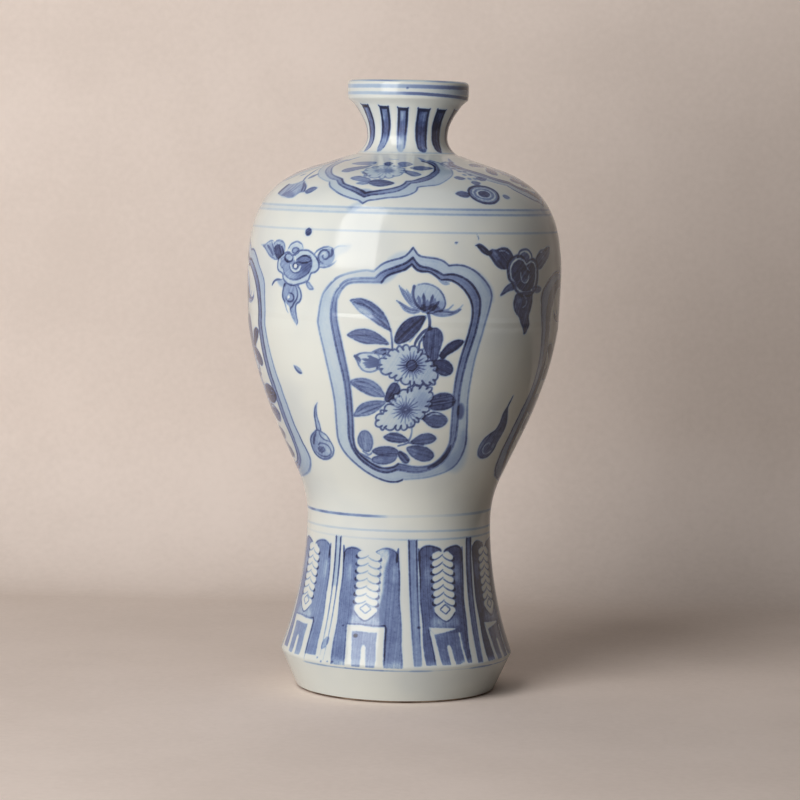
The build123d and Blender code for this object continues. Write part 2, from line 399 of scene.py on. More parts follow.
def coat_tree():
    """Nodes that turn a profile into a thrown coat: a closed ring of rows, slightly out of true."""
    group = bpy.data.node_groups.new("thrown_coat", "GeometryNodeTree")
    face = group.interface
    face.new_socket("Profile", in_out="INPUT", socket_type="NodeSocketGeometry")
    for name, kind in (
        ("Steps", "NodeSocketInt"),
        ("Wobble", "NodeSocketFloat"),
        ("Wobble Length", "NodeSocketFloat"),
        ("Finish", "NodeSocketMaterial"),
    ):
        face.new_socket(name, in_out="INPUT", socket_type=kind)
    face.new_socket("Coat", in_out="OUTPUT", socket_type="NodeSocketGeometry")
    tree = Tree(group)
    start = group.nodes.new("NodeGroupInput")
    given = {socket.name: Socket(tree, socket) for socket in start.outputs if socket.name}
    profile = {"Geometry": given["Profile"]}
    count = tree.node("GeometryNodeAttributeDomainSize", {"component": "MESH"}, profile)
    rows = count + 1.0
    sheet_sockets = {"Vertices X": given["Steps"] + 1.0, "Vertices Y": rows}
    sheet = tree.node("GeometryNodeMeshGrid", None, sheet_sockets, "Mesh")
    index = tree.node("GeometryNodeInputIndex")
    column = tree.math("FLOOR", index / rows)
    row = tree.math("MODULO", index - column * rows, count)
    sampled = tree.node(
        "GeometryNodeSampleIndex",
        {"data_type": "FLOAT_VECTOR", "domain": "POINT"},
        {"Geometry": given["Profile"], "Value": tree.node("GeometryNodeInputPosition"), "Index": row},
    )
    turned = tree.node(
        "ShaderNodeVectorRotate",
        {"rotation_type": "Z_AXIS"},
        {"Vector": sampled, "Angle": column * (2 * pi) / given["Steps"]},
    )
    sway = tree.node(
        "ShaderNodeTexNoise",
        {"noise_dimensions": "3D"},
        {"Vector": turned, "Scale": 1.0 / given["Wobble Length"], "Detail": 1.0},
    )
    flat = tree.node("ShaderNodeVectorMath", {"operation": "MULTIPLY"}, [turned, (1.0, 1.0, 0.0)])
    outward = tree.node("ShaderNodeVectorMath", {"operation": "NORMALIZE"}, [flat])
    push = (sway - 0.5) * 2.0 * given["Wobble"]
    shift = tree.node("ShaderNodeVectorMath", {"operation": "SCALE"}, {"Vector": outward, "Scale": push})
    place = tree.node("ShaderNodeVectorMath", {"operation": "ADD"}, [turned, shift])
    kept = tree.node(
        "GeometryNodeStoreNamedAttribute",
        {"data_type": "FLOAT", "domain": "POINT"},
        {"Geometry": sheet, "Name": "row", "Value": row},
    )
    ring = tree.node("GeometryNodeSetPosition", None, {"Geometry": kept, "Position": place})
    closed = tree.node("GeometryNodeMergeByDistance", None, {"Geometry": ring, "Distance": MERGE_GAP})
    smooth = tree.node("GeometryNodeSetShadeSmooth", None, {"Geometry": closed, "Shade Smooth": True})
    real = tree.node("GeometryNodeRealizeInstances", None, {"Geometry": smooth})
    coated = tree.node("GeometryNodeSetMaterial", None, {"Geometry": real, "Material": given["Finish"]})
    tree.node("NodeGroupOutput", None, {"Coat": coated})
    return group


def coat_rows(low, high, pitch):
    """Distances along the outline, with close rows at both rims so that neighbouring zones shade alike."""
    close, inset = RIM_ROWS
    steps = max(2, int((high - low) / pitch))
    inner = np.linspace(low + inset, high - inset, steps)
    return np.concatenate([[low, low + close], inner, [high - close, high]])


def thrown_coat(zone, group, finish):
    """One zone of the coat as a closed thin ring, with the distance along the outline at each vertex."""
    name, low, high, steps, pitch = zone
    low_reach = reach_at_height(low)
    high_reach = REACH[-1] if high >= CROWN_HEIGHT else reach_at_height(high)
    outer = coat_rows(low_reach, high_reach, pitch)
    hidden_rows = max(HIDDEN_ROWS, int((high_reach - low_reach) / HIDDEN_PITCH))
    inner = np.linspace(high_reach, low_reach, hidden_rows)
    outside = along_outline(outer)
    inside = along_outline(inner) - COAT * outward_at(inner)
    profile = np.vstack([outside, inside]) * MM
    mesh = bpy.data.meshes.new(name + "_profile")
    mesh.from_pydata([(r, 0.0, z) for r, z in profile], [], [])
    piece = bpy.data.objects.new(name, mesh)
    bpy.context.scene.collection.objects.link(piece)
    modifier = piece.modifiers.new("thrown", "NODES")
    modifier.node_group = group
    given = {"Steps": steps, "Wobble": WOBBLE * MM, "Wobble Length": WOBBLE_LENGTH * MM, "Finish": finish}
    for item in group.interface.items_tree:
        if item.in_out == "INPUT" and item.name in given:
            modifier[item.identifier] = given[item.name]
    turned = piece.evaluated_get(bpy.context.evaluated_depsgraph_get())
    thrown = bpy.data.meshes.new_from_object(turned)
    piece.modifiers.clear()
    piece.data = thrown
    thrown.name = name
    thrown.set_sharp_from_angle(angle=radians(SHARP_EDGE))
    row = np.zeros(len(thrown.vertices), np.float32)
    thrown.attributes["row"].data.foreach_get("value", row)
    row = np.rint(row).astype(int)
    thrown.attributes.remove(thrown.attributes["row"])
    reach = np.concatenate([outer, np.full(len(inner), -1.0)])[row]
    return piece, reach


def vertex_places(mesh):
    """Places of a mesh's vertices as rows of x, y and z."""
    places = np.zeros(len(mesh.vertices) * 3)
    mesh.vertices.foreach_get("co", places)
    return places.reshape(-1, 3)


def azimuths(places):
    """Angle round the vase, nought at the front and growing to the right as seen from the front."""
    return np.arctan2(places[:, 0], -places[:, 1])


def paint(coats):
    """Paints all the zones as one surface and keeps the brushwork on their vertices."""
    outside = [reach >= 0 for _, reach in coats]
    turns = [azimuths(vertex_places(piece.data))[kept] for (piece, _), kept in zip(coats, outside)]
    reaches = [reach[kept] for (_, reach), kept in zip(coats, outside)]
    work = Brushwork(np.concatenate(turns), np.concatenate(reaches))
    decorate(work)
    layers = [("pooled", work.pooled, 0.0), ("wash_grain", work.grain, 0.0)]
    for layer in ("line", "wash"):
        layers.append((f"{layer}_reach", work.depth[layer], -FAR))
        layers.append((f"{layer}_tone", work.tone[layer], 0.0))
    start = 0
    for (piece, reach), kept in zip(coats, outside):
        end = start + int(kept.sum())
        for name, values, bare in layers:
            full = np.full(len(reach), bare)
            full[kept] = values[start:end]
            piece.data.attributes.new(name, "FLOAT", "POINT").data.foreach_set("value", full)
        start = end


# The bake map: strips round the turn, and shares of the map for their pitch, margin, height and width
BAKE_STRIPS = 3
STRIP_TURN = 2 * pi / BAKE_STRIPS
STRIP_PITCH = 0.325
STRIP_MARGIN = 0.003
STRIP_TALL = 0.318
STRIP_WIDE = 0.97
HIDDEN_LOW = 0.978
HIDDEN_TALL = 0.02


def bake_map(piece, reach):
    """A map of three third-turn strips for the outside, with the hidden side in a thin strip."""
    mesh = piece.data
    places = vertex_places(mesh)
    corner = np.zeros(len(mesh.loops), int)
    mesh.loops.foreach_get("vertex_index", corner)
    face = np.repeat(np.arange(len(mesh.polygons)), 4)
    centre = places[corner].reshape(-1, 4, 3).mean(1)
    hidden = (reach[corner].reshape(-1, 4) < 0).any(1)
    strip = np.clip(((azimuths(centre) + pi) / STRIP_TURN).astype(int), 0, BAKE_STRIPS - 1)
    turn = azimuths(places[corner]) - (strip[face] - 1) * STRIP_TURN
    turn = (turn + pi) % (2 * pi) - pi
    across = 0.5 + turn / STRIP_TURN * STRIP_WIDE
    low, high = reach[reach >= 0].min(), reach.max()
    rise = (reach[corner] - low) / (high - low)
    hidden_rise = (places[corner][:, 2] - places[:, 2].min()) / np.ptp(places[:, 2])
    shown_up = strip[face] * STRIP_PITCH + STRIP_MARGIN + rise * STRIP_TALL
    up = np.where(hidden[face], HIDDEN_LOW + HIDDEN_TALL * hidden_rise, shown_up)
    layer = mesh.uv_layers.new(name="OFBake")
    layer.data.foreach_set("uv", np.column_stack([across, up]).ravel())


# How far from a brush mark its distance is kept, in millimetres, and where along a stroke the brush presses
FAR = 2.5
BRUSH_PRESS = (0.0, 0.22, 0.75, 1.0)


def curve(points, closed=False, pitch=0.8):
    """A smooth line through given points."""
    given = np.array(points, float)
    if len(given) < 3:
        return given
    if closed:
        ring = np.vstack([given[-1], given, given[:2]])
    else:
        ring = np.vstack([2 * given[0] - given[1], given, 2 * given[-1] - given[-2]])
    pieces = []
    for a, b, c, d in zip(ring, ring[1:], ring[2:], ring[3:]):
        steps = int(hypot(*(c - b)) / pitch) + 2
        t = np.linspace(0, 1, steps, endpoint=False)[:, None]
        bow = (2 * a - 5 * b + 4 * c - d) * t**2 + (3 * b - a - 3 * c + d) * t**3
        pieces.append(b + ((c - a) * t + bow) / 2)
    last = pieces[0][:1] if closed else given[-1:]
    return np.vstack([*pieces, last])


def cusped(runs):
    """A closed line of smooth runs that meet in points."""
    return np.vstack([curve(run)[:-1] for run in runs] + [np.array(runs[0][:1], float)])


def oval(centre, wide, high, turn=0.0, steps=16):
    """Points round an ellipse."""
    a = np.linspace(0, 2 * pi, steps, endpoint=False)
    x, y = wide * np.cos(a), high * np.sin(a)
    c, s = cos(radians(turn)), sin(radians(turn))
    return np.column_stack([centre[0] + c * x - s * y, centre[1] + s * x + c * y])


def spiral(centre, start, end, turns, phase=0.0, squash=1.0):
    """Points along a spiral between two radii."""
    share = np.linspace(0, 1, int(10 * abs(turns)) + 3)
    a = radians(phase) + 2 * pi * turns * share
    r = start + (end - start) * share
    return np.column_stack([centre[0] + r * np.cos(a), centre[1] + r * np.sin(a) * squash])


def scalloped(points, petals, bulge):
    """A closed line of round petal ends that follows an outline, and the notches between them."""
    loop = curve(points, closed=True)
    length = np.concatenate([[0], np.cumsum(np.hypot(*np.diff(loop, axis=0).T))])
    uneven = np.arange(petals + 1) + 0.22 * np.sin(np.arange(petals + 1) * 2.4)
    marks = length[-1] * (uneven - uneven[0]) / (uneven[-1] - uneven[0])
    notches = np.column_stack([np.interp(marks, length, loop[:, axis]) for axis in (0, 1)])
    area = np.sum(loop[:-1, 0] * loop[1:, 1] - loop[1:, 0] * loop[:-1, 1])
    share = np.linspace(0, 1, 8)[:-1, None]
    pieces = []
    for start, end in zip(notches, notches[1:]):
        across = end - start
        outward = np.array([across[1], -across[0]]) * np.sign(area) / hypot(*across)
        pieces.append(start + share * across + outward * bulge * np.sin(pi * share) ** 0.6)
    return np.vstack([*pieces, notches[:1]]), notches[:-1]


def blade(base, tip, width, bend=0.0):
    """The outline of a pointed leaf."""
    base, tip = np.array(base, float), np.array(tip, float)
    axis = tip - base
    side = np.array([-axis[1], axis[0]]) / hypot(*axis)
    share = np.array([0.1, 0.3, 0.55, 0.8, 0.95])[:, None]
    middle = base + share * axis + side * 4 * bend * share * (1 - share)
    half = side * width / 2 * np.sin(pi * share**0.85) ** 0.75
    return np.vstack([base, middle + half, tip, (middle - half)[::-1]])


# A hoop that drops nowhere
LEVEL = [(0, 0.0)]


class Brushwork:
    """Cobalt at every vertex: lines and washes with a signed reach and a tone, and soft pools."""

    def __init__(self, azimuth, reach):
        self.azimuth = azimuth
        self.reach = reach
        self.radius, self.height = along_outline(reach).T
        self.depth = {layer: np.full(len(reach), -FAR) for layer in ("line", "wash")}
        self.tone = {layer: np.zeros(len(reach)) for layer in ("line", "wash")}
        self.grain = np.zeros(len(reach))
        self.pooled = np.zeros(len(reach))

    def lay(self, layer, index, depth, tone, over=False, grain=None):
        """Paint stays where it reaches furthest, or goes over what it covers."""
        here = self.depth[layer][index]
        better = (depth > here) | (over & (depth > 0))
        chosen = index[better]
        self.depth[layer][chosen] = np.maximum(depth, here)[better]
        self.tone[layer][chosen] = tone[better]
        if grain is not None:
            self.grain[chosen] = grain[better]

    def wipe(self, index, depth):
        """A reserve: bare ground where nothing was painted."""
        for layer in self.depth.values():
            layer[index] = np.minimum(layer[index], -depth)
        self.pooled[index] *= np.clip(0.5 - depth, 0, 1)

    def round_the_turn(self, knots):
        """Values that change from one azimuth to the next."""
        return np.interp(np.degrees(self.azimuth), *np.transpose(sorted(knots)), period=360.0)

    def hoop(self, layer, height, width, tones, drops=LEVEL):
        """A turned line all round, with tones and drops below its height given at azimuths."""
        depth = width / 2 - np.abs(self.reach - reach_at_height(height) + self.round_the_turn(drops))
        near = np.flatnonzero(depth > -FAR)
        self.lay(layer, near, depth[near], self.round_the_turn(tones)[near])


class Canvas:
    """A patch of the coat laid flat, in millimetres, across and up from a centre line."""

    def __init__(self, work, azimuth, span, low, high, chord=False, up="height", mirrored=False, warp=None):
        turn = (work.azimuth - radians(azimuth) + pi) % (2 * pi) - pi
        level = getattr(work, up)
        self.index = np.flatnonzero((np.abs(turn) < radians(span)) & (level > low) & (level < high))
        turn = turn[self.index] * (-1.0 if mirrored else 1.0)
        radius = work.radius[self.index]
        self.x = radius * (np.sin(turn) if chord else turn)
        self.y = level[self.index]
        if warp:
            middle, share, lift, swell = warp
            self.y = middle + (self.y - middle) * share + lift
            self.x = self.x / np.interp(self.y, *np.transpose(swell))
        self.points = np.column_stack([self.x, self.y])
        self.work = work
        self.strength = 1.0

    def near_box(self, corners, margin):
        """Points inside the box round some corners."""
        low, high = corners.min(0) - margin, corners.max(0) + margin
        inside = (self.x > low[0]) & (self.x < high[0]) & (self.y > low[1]) & (self.y < high[1])
        return np.flatnonzero(inside)

    def distance(self, path, margin, span=10):
        """Points near a path, their distance to it and the share of its length at the nearest place."""
        steps = np.diff(path, axis=0)
        lengths = np.maximum(np.hypot(*steps.T), 1e-9)
        begun = np.cumsum(lengths) - lengths
        gap = np.full(len(self.x), np.inf)
        share = np.zeros(len(self.x))
        for first in range(0, len(steps), span):
            part = slice(first, first + span)
            near = self.near_box(path[first : first + span + 1], margin)
            if not len(near):
                continue
            offset = self.points[near][:, None] - path[:-1][part]
            along = np.clip((offset * steps[part]).sum(2) / lengths[part] ** 2, 0, 1)
            away = np.hypot(*np.moveaxis(offset - along[..., None] * steps[part], 2, 0))
            pick = (np.arange(len(near)), away.argmin(1))
            closer = away[pick] < gap[near]
            chosen = near[closer]
            gap[chosen] = away[pick][closer]
            share[chosen] = (begun[part] + along * lengths[part])[pick][closer] / lengths.sum()
        near = np.flatnonzero(gap < margin)
        return near, gap[near], share[near]

    def depth_in(self, loop):
        """Signed distance into a closed line, over the whole canvas."""
        depth = np.full(len(self.x), -FAR)
        near = self.near_box(loop, 0.0)
        x, y = self.x[near], self.y[near]
        inside = np.zeros(len(near), bool)
        for (x0, y0), (x1, y1) in zip(loop, loop[1:]):
            if y0 != y1:
                inside ^= ((y0 > y) != (y1 > y)) & (x < (x1 - x0) * (y - y0) / (y1 - y0) + x0)
        depth[near[inside]] = FAR
        edge, gap, _ = self.distance(loop, FAR)
        depth[edge] = np.where(depth[edge] > 0, gap, -gap)
        return depth

    def loop(self, points, sharp=False):
        """A closed line through points, smooth or straight between them."""
        given = np.array(points, float)
        return np.vstack([given, given[:1]]) if sharp else curve(given, closed=True)

    def toned(self, tone, near):
        """One tone, or tones that change from left to right, given as pairs of place and tone."""
        if isinstance(tone, list):
            tone = np.interp(self.x[near], *np.transpose(tone))
        return np.broadcast_to(tone, len(near)) * self.strength

    def stroke(self, points, width, tone, taper=(0.7, 0.4), closed=False, sharp=False):
        """A brush line that swells from its first end and thins to its last; tones go along it."""
        path = np.array(points, float) if sharp else curve(points, closed)
        near, gap, share = self.distance(path, width / 2 + FAR)
        press = np.interp(share, BRUSH_PRESS, (taper[0], 1.0, 1.0, taper[1]))
        knots = np.broadcast_to(tone, 2) if np.ndim(tone) == 0 else tone
        tones = np.interp(share, np.linspace(0.0, 1.0, len(knots)), knots) * self.strength
        self.work.lay("line", self.index[near], width / 2 * press - gap, tones)

    def ring(self, points, width, tone):
        """A closed brush line of even width."""
        self.stroke(points, width, tone, (1.0, 1.0), closed=True)

    def spread(self, depth, tone, grain):
        """A wash, with brush marks along a direction in degrees or at given distances across."""
        near = np.flatnonzero(depth > -FAR)
        if np.ndim(grain) == 0:
            grain = self.y * cos(radians(grain)) - self.x * sin(radians(grain))
        self.work.lay("wash", self.index[near], depth[near], self.toned(tone, near), True, grain[near])

    def fill(self, points, tone, grain=30.0, sharp=False):
        """A wash inside a closed line."""
        self.spread(self.depth_in(self.loop(points, sharp)), tone, grain)

    def band(self, outer, inner, tone):
        """A wash between two closed lines, brushed along them."""
        across = self.depth_in(outer)
        self.spread(np.minimum(across, -self.depth_in(inner)), tone, across)

    def pool(self, points, tone, soft=1.2):
        """A soft blot over the other paint, or a paler place where the tone is below nought."""
        cover = np.clip(self.depth_in(self.loop(points)) / (2 * soft) + 0.5, 0, 1)
        near = np.flatnonzero(cover)
        eased = cover[near] ** 2 * (3 - 2 * cover[near])
        self.work.pooled[self.index[near]] += eased * self.toned(tone, near)

    def reserve(self, points, sharp=False):
        """Bare ground inside a closed line."""
        depth = self.depth_in(self.loop(points, sharp))
        near = np.flatnonzero(depth > -FAR)
        self.work.wipe(self.index[near], depth[near])

    def scrape(self, points, width, closed=False):
        """A bare line left in the paint."""
        near, gap, _ = self.distance(curve(points, closed), width / 2 + FAR)
        self.work.wipe(self.index[near], width / 2 - gap)

    def fade(self, centre, radius, share):
        """Paint made paler round a centre."""
        gap = np.hypot(self.x - centre[0], self.y - centre[1])
        kept = share + (1 - share) * np.clip((gap / radius - 0.5) / 0.5, 0, 1)
        for tone in self.work.tone.values():
            tone[self.index] *= kept

    def leaf(self, points, tone, edge=0.6):
        """A leaf with streaks along its length and a darker edge."""
        outline = np.array(points, float)
        way = np.linalg.svd(outline - outline.mean(0))[2][0]
        self.fill(outline, tone, degrees(atan2(way[1], way[0])))
        self.ring(outline, 0.65, edge)

    def blossom(self, outline, petals, tone, heart, core, rays, edge=1.5):
        """A many-petalled flower: a scalloped wash, notched petals, a comb of rays and a dark heart."""
        rim, notches = scalloped(outline, petals, 1.35)
        self.fill(rim, tone, 60.0, sharp=True)
        self.stroke(rim, 0.7, edge, (1.0, 1.0), sharp=True)
        for notch in notches:
            inward = np.array(heart) - notch
            inward /= hypot(*inward)
            self.stroke([notch - 0.3 * inward, notch + 1.3 * inward], 0.85, edge, (1.0, 0.2))
        near, far, count, ray_tone = rays
        for ray in range(count):
            way = np.array([cos(2 * pi * ray / count), sin(2 * pi * ray / count)])
            end = far * (1.0 - 0.16 * (ray % 3 == 1))
            self.stroke([heart + way * near, heart + way * end], 0.5, ray_tone, (1.0, 0.3))
        if core:
            self.fill(oval(heart, core, core), 1.9)


# The body panels: three lines of smooth runs that meet in points, in millimetres across and up
PANEL_OUTER = [
    [(1, 198.7), (3.2, 195.8), (5.5, 194.9), (10, 194.4), (13.6, 193.4), (16.4, 191.4)],
    [
        (16.4, 191.4), (20, 191.7), (24, 191), (28.8, 188.3), (33, 184), (35, 180), (34.8, 175.3),
        (31.8, 163.7), (28.4, 150.3), (26.4, 135.3), (26.5, 122), (26, 112), (21.5, 103.6), (12, 99.4),
        (-0.3, 97.8),
    ],
    [
        (-0.3, 97.9), (-3, 96.9), (-7.4, 97.1), (-13.6, 99.5), (-19.8, 103.6), (-25.3, 108.9),
        (-28.4, 114.6), (-29.5, 122), (-30.8, 133.7), (-34.9, 151.2), (-37.8, 162.8), (-38.3, 167.8),
        (-36.2, 178.7), (-30.3, 185.3), (-20.3, 188.5), (-15.2, 188.4),
    ],
    [(-14.7, 189), (-11.6, 191.6), (-8, 193.1), (-3.4, 194.5), (-1, 196.2), (1, 198.7)],
]
PANEL_MIDDLE = [
    [(1, 194.6), (3, 191.9), (5, 190.8), (8, 190.2), (11.3, 188.9), (14, 187.4)],
    [
        (14, 187.4), (19, 187.6), (25, 184.9), (29.2, 179.6), (30.3, 174), (28.8, 164), (24.8, 150),
        (22.6, 137), (22.2, 120), (20.4, 112), (15.5, 104.9), (6.3, 101.4), (-2.8, 102.4),
    ],
    [
        (-2.8, 102.4), (-8, 101), (-14.4, 103.2), (-20.5, 108.4), (-23.8, 115.3), (-24.7, 125.3),
        (-26.6, 140.3), (-30.8, 157), (-33, 168.7), (-31.8, 178), (-29, 182.2), (-24.6, 184.9), (-15, 185.6),
    ],
    [(-14.4, 185.8), (-12.6, 187.6), (-10, 189), (-5, 190.9), (-2, 192.2), (1, 194.6)],
]
PANEL_INNER = [
    [(0.6, 191.6), (2.4, 189.6), (4.6, 188.7), (8, 188.5), (11, 186.8), (12.8, 185.2)],
    [
        (12.8, 185.2), (17.6, 185.1), (22.4, 182), (26, 176.8), (27, 171), (25.7, 163.5), (22.2, 151),
        (20.2, 138.7), (19.6, 122.8), (18.8, 113.3), (13.5, 106), (6.3, 103.9), (-2.4, 105.3),
    ],
    [
        (-2.4, 105.3), (-5, 103.6), (-9.7, 103.2), (-14.6, 105.4), (-19.6, 109.6), (-21.8, 114.3),
        (-22.6, 125.3), (-24.3, 140.3), (-28, 157), (-30.4, 167.8), (-30.4, 176), (-28.4, 180.5),
        (-24.3, 183.2), (-12.4, 183.6),
    ],
    [(-12, 183.6), (-10.4, 185.8), (-8, 187.3), (-4.2, 188.6), (-1.8, 189.6), (0.6, 191.6)],
]
# Line tones along each run, in the same order
OUTER_TONES = [
    (2.0, 1.6, 1.8),
    (1.9, 1.5, 0.9, 0.7, 0.8, 1.6, 0.5, 0.3),
    (2.2, 1.5, 1.2, 1.0, 0.9, 0.8, 0.35, 0.3),
    (1.9, 1.6, 2.0),
]
MIDDLE_TONES = [
    (2.2, 1.6, 2.0),
    (2.0, 2.0, 1.4, 1.2, 1.0, 0.6, 0.9),
    (1.4, 1.6, 1.3, 1.0, 1.1, 0.9, 0.3, 0.25),
    (1.6, 1.5, 2.2),
]
INNER_TONES = [
    (2.2, 1.7, 2.0),
    (2.1, 2.2, 1.8, 1.2, 0.9, 1.0, 0.7),
    (1.5, 1.7, 1.2, 0.8, 0.9, 0.8, 0.3, 0.25),
    (2.1, 1.6, 2.2),
]
# The panel's lines with their widths and tones, and the washes between them as tones from left to right
PANEL_LINES = [
    (PANEL_OUTER, 0.75, OUTER_TONES), (PANEL_MIDDLE, 0.85, MIDDLE_TONES), (PANEL_INNER, 0.9, INNER_TONES),
]
OUTER_WASH = [(-36, 0.36), (-26, 0.38), (-10, 0.45), (6, 0.55), (24, 0.45), (34, 0.55)]
INNER_WASH = [(-33, 1.05), (-26, 1.25), (-14, 1.5), (-6, 1.45), (1, 1.5), (6, 1.2), (20, 1.1), (29, 1.5)]
# How the side panels differ from the front one: middle height, share of height, lift, and swell by height
LEFT_WARP = (148.0, 0.93, 0.0, [
    (97, 1.3), (103, 1.16), (108, 1.16), (114, 1.1), (122, 1.13), (130, 1.2), (137, 1.22), (142, 1.19),
    (147, 1.16), (152, 1.12), (157, 1.07), (163, 1.01), (167, 0.99), (173, 0.94), (180, 0.91), (186, 0.85),
])
RIGHT_WARP = (148.0, 1.0, 3.9, [
    (98, 1.2), (103, 1.08), (110, 1.05), (116, 1.07), (124, 1.12), (132, 1.14), (140, 1.1), (150, 1.09),
    (165, 1.09), (172, 1.07), (178, 1.06), (184, 1.12), (190, 1.12),
])


def body_panel(work, azimuth, mirrored=False, patchy=False, warp=None, strength=1.0):
    """A lobed panel with a double border and a flowering spray."""
    panel = Canvas(work, azimuth, 46.0, 86.0, 204.0, True, mirrored=mirrored, warp=warp)
    panel.strength = strength
    outer, middle, inner = (cusped(runs) for runs, _, _ in PANEL_LINES)
    panel.band(outer, middle, OUTER_WASH)
    panel.band(middle, inner, INNER_WASH)
    for runs, width, tones in PANEL_LINES:
        for run, tone in zip(runs, tones):
            panel.stroke(run, width, tone, (1, 1))
    if patchy:
        border_with_painted_highlight(panel)
    flowering_spray(panel)


def border_with_painted_highlight(panel):
    """The front panel's border, pooled at the right and below, and painted paler round the upper left where
    the lamp's reflection lies: a painted highlight.
    """
    # Painted highlight: the border is made paler where the lamp's reflection lies on the barrel
    panel.fade((-23, 187), 15.0, 0.45)
    for runs, _, _ in PANEL_LINES:
        panel.stroke(runs[2][-4:], 0.95, (0.7, 1.1, 0.65, 0.55, 0.55), (0.8, 1))
    panel.pool(oval((23.4, 128.8), 1.5, 3.6), 1.5, 0.7)
    panel.pool([(-9.5, 193.5), (-6, 196.2), (-2.4, 197.2), (-1.2, 196.6), (-4.4, 194.4)], 0.3, 1.0)
    panel.pool([(22, 101), (26.5, 105), (27.5, 116), (25, 120), (22, 112), (17, 105)], 0.35, 1.8)
    panel.pool([(27, 189.6), (31, 187.4), (35.4, 182), (36, 176), (33, 182)], 0.3, 1.2)
    panel.stroke([
        (10.4, 103.6), (13.5, 105), (16.5, 107.6), (18.8, 110.6), (19.9, 113.6),
    ], 2.1, (1.2, 1.7, 1.5), (0.4, 0.3))
    panel.stroke([(12.4, 185.4), (14.4, 184), (16.6, 183.7)], 1.5, 0.8)
    panel.pool([(-12.2, 184.2), (-9.4, 186.6), (-5.4, 188), (-7, 185.6), (-10.4, 183.4)], 0.4, 0.9)


# The leaves of the spray: tone and outline
SPRAY_LEAVES = [
    (1.65, [
        (-25.8, 161), (-24, 162.6), (-21.4, 163.6), (-18, 163.8), (-15, 163), (-12.4, 161.6), (-10, 159.8),
        (-8.3, 157.7), (-11, 157.6), (-14, 157.8), (-17.5, 157.6), (-20.5, 158.2), (-23.4, 159.5),
    ]),
    (2.5, [
        (-5.9, 159.2), (-5.6, 161.6), (-4.4, 164.4), (-2.6, 166.8), (-0.4, 168.6), (2, 169.6), (4.4, 170),
        (7, 169.8), (6.2, 167.4), (4.8, 164.8), (3, 162.4), (1.2, 160.6), (-0.6, 159.2), (-2.6, 158.4),
        (-4.6, 157.8),
    ]),
    (2.0, [
        (7, 163.2), (9.4, 164.8), (11.6, 165), (13.6, 163.6), (14.4, 161.4), (14.3, 159), (13.6, 156.6),
        (13, 154.4), (12.6, 152), (11, 150.6), (9.4, 151.4), (8, 153.4), (6.8, 155.6), (6.2, 158),
        (6.2, 160.4),
    ]),
    (2.65, [
        (13.2, 153), (14.6, 155.6), (16.6, 158), (19, 159.4), (21.4, 160), (23.5, 159.4), (23, 158.2),
        (21.4, 156.4), (19, 154.8), (16.6, 153.4), (15, 151.9),
    ]),
    (2.35, [
        (10.2, 150.6), (13, 151.4), (15.6, 151.4), (17.8, 150.2), (19, 148.4), (19.2, 146.6), (18, 145),
        (15.8, 144.4), (13.6, 145.2), (12, 146.8), (11, 148.6),
    ]),
    (1.25, [
        (-24.2, 140.7), (-22.6, 142), (-20, 142.6), (-16.8, 142.4), (-13.6, 141), (-11.4, 139), (-10, 136.8),
        (-9.4, 135), (-12, 134.8), (-15.4, 135.2), (-18.6, 136.6), (-21.4, 138.2),
    ]),
    (2.1, [
        (-9.3, 133.2), (-8.6, 137), (-7.6, 139.4), (-6.2, 141), (-4.4, 141), (-3.2, 139.4), (-2.8, 137.6),
        (-3.4, 135.8), (-4.8, 134.2), (-6.8, 132.8),
    ]),
    (1.35, [
        (-22.1, 125.8), (-21.2, 128.6), (-19.4, 131), (-16.6, 132.4), (-13.4, 133), (-10.6, 133),
        (-8.9, 132.4), (-10.4, 130.6), (-13, 128.2), (-16, 126.6), (-19, 126),
    ]),
    (2.3, [
        (9.6, 134), (12, 136), (15, 137), (18.4, 136.6), (20.6, 134.6), (20.8, 132.6), (19, 130.6),
        (16, 129.4), (12.6, 129.4), (10, 130.2),
    ]),
    (1.95, [
        (6.4, 126), (8.6, 127.4), (11, 128.6), (13.6, 128.4), (16.2, 127.2), (17.8, 125.4), (17.2, 123.4),
        (15, 121.8), (12, 121.6), (9.6, 122.8), (7.8, 124.6),
    ]),
    (1.35, [
        (-14, 112.4), (-13.8, 115), (-14.8, 118), (-16.8, 119.6), (-18.8, 119), (-20, 116.6), (-20, 114),
        (-18.6, 111.6), (-16.6, 110.2), (-15, 110.4),
    ]),
    (1.9, [
        (1.4, 115.6), (-0.6, 117.6), (-3.2, 119), (-6, 119), (-8, 118), (-9.2, 116.9), (-7.2, 115.4),
        (-4.4, 114.8), (-1.4, 114.8),
    ]),
    (2.0, [
        (2.4, 114.9), (4.4, 117), (7, 118.6), (10, 119), (12.4, 118), (13.3, 116.6), (11.8, 115),
        (9.2, 114.2), (6, 114.2),
    ]),
    (1.8, [
        (-14, 110.4), (-11.6, 112.2), (-8.6, 112.8), (-5.4, 112.6), (-3.2, 111.4), (-2.4, 109.8),
        (-4.6, 108.8), (-8, 108.7), (-11.4, 108.9),
    ]),
    (1.6, [
        (-3.2, 109.6), (-3.6, 107.4), (-5.2, 105.8), (-8, 104.8), (-11, 104.8), (-13.8, 106), (-13.6, 107.4),
        (-11.2, 108.6), (-8.4, 109.2), (-5.4, 109.6),
    ]),
    (2.25, [
        (-2.4, 111), (-0.4, 110.2), (1.4, 108.6), (2.2, 106.8), (1.4, 105.6), (-0.4, 105.8), (-1.8, 107.4),
        (-2.8, 109.2),
    ]),
    (2.0, [
        (1, 112.6), (3.4, 113.4), (6.4, 113.4), (9.6, 112.6), (12, 110.6), (12.6, 108.8), (11.2, 107),
        (8.4, 106.4), (5.4, 107.2), (2.8, 109), (1.2, 111),
    ]),
]
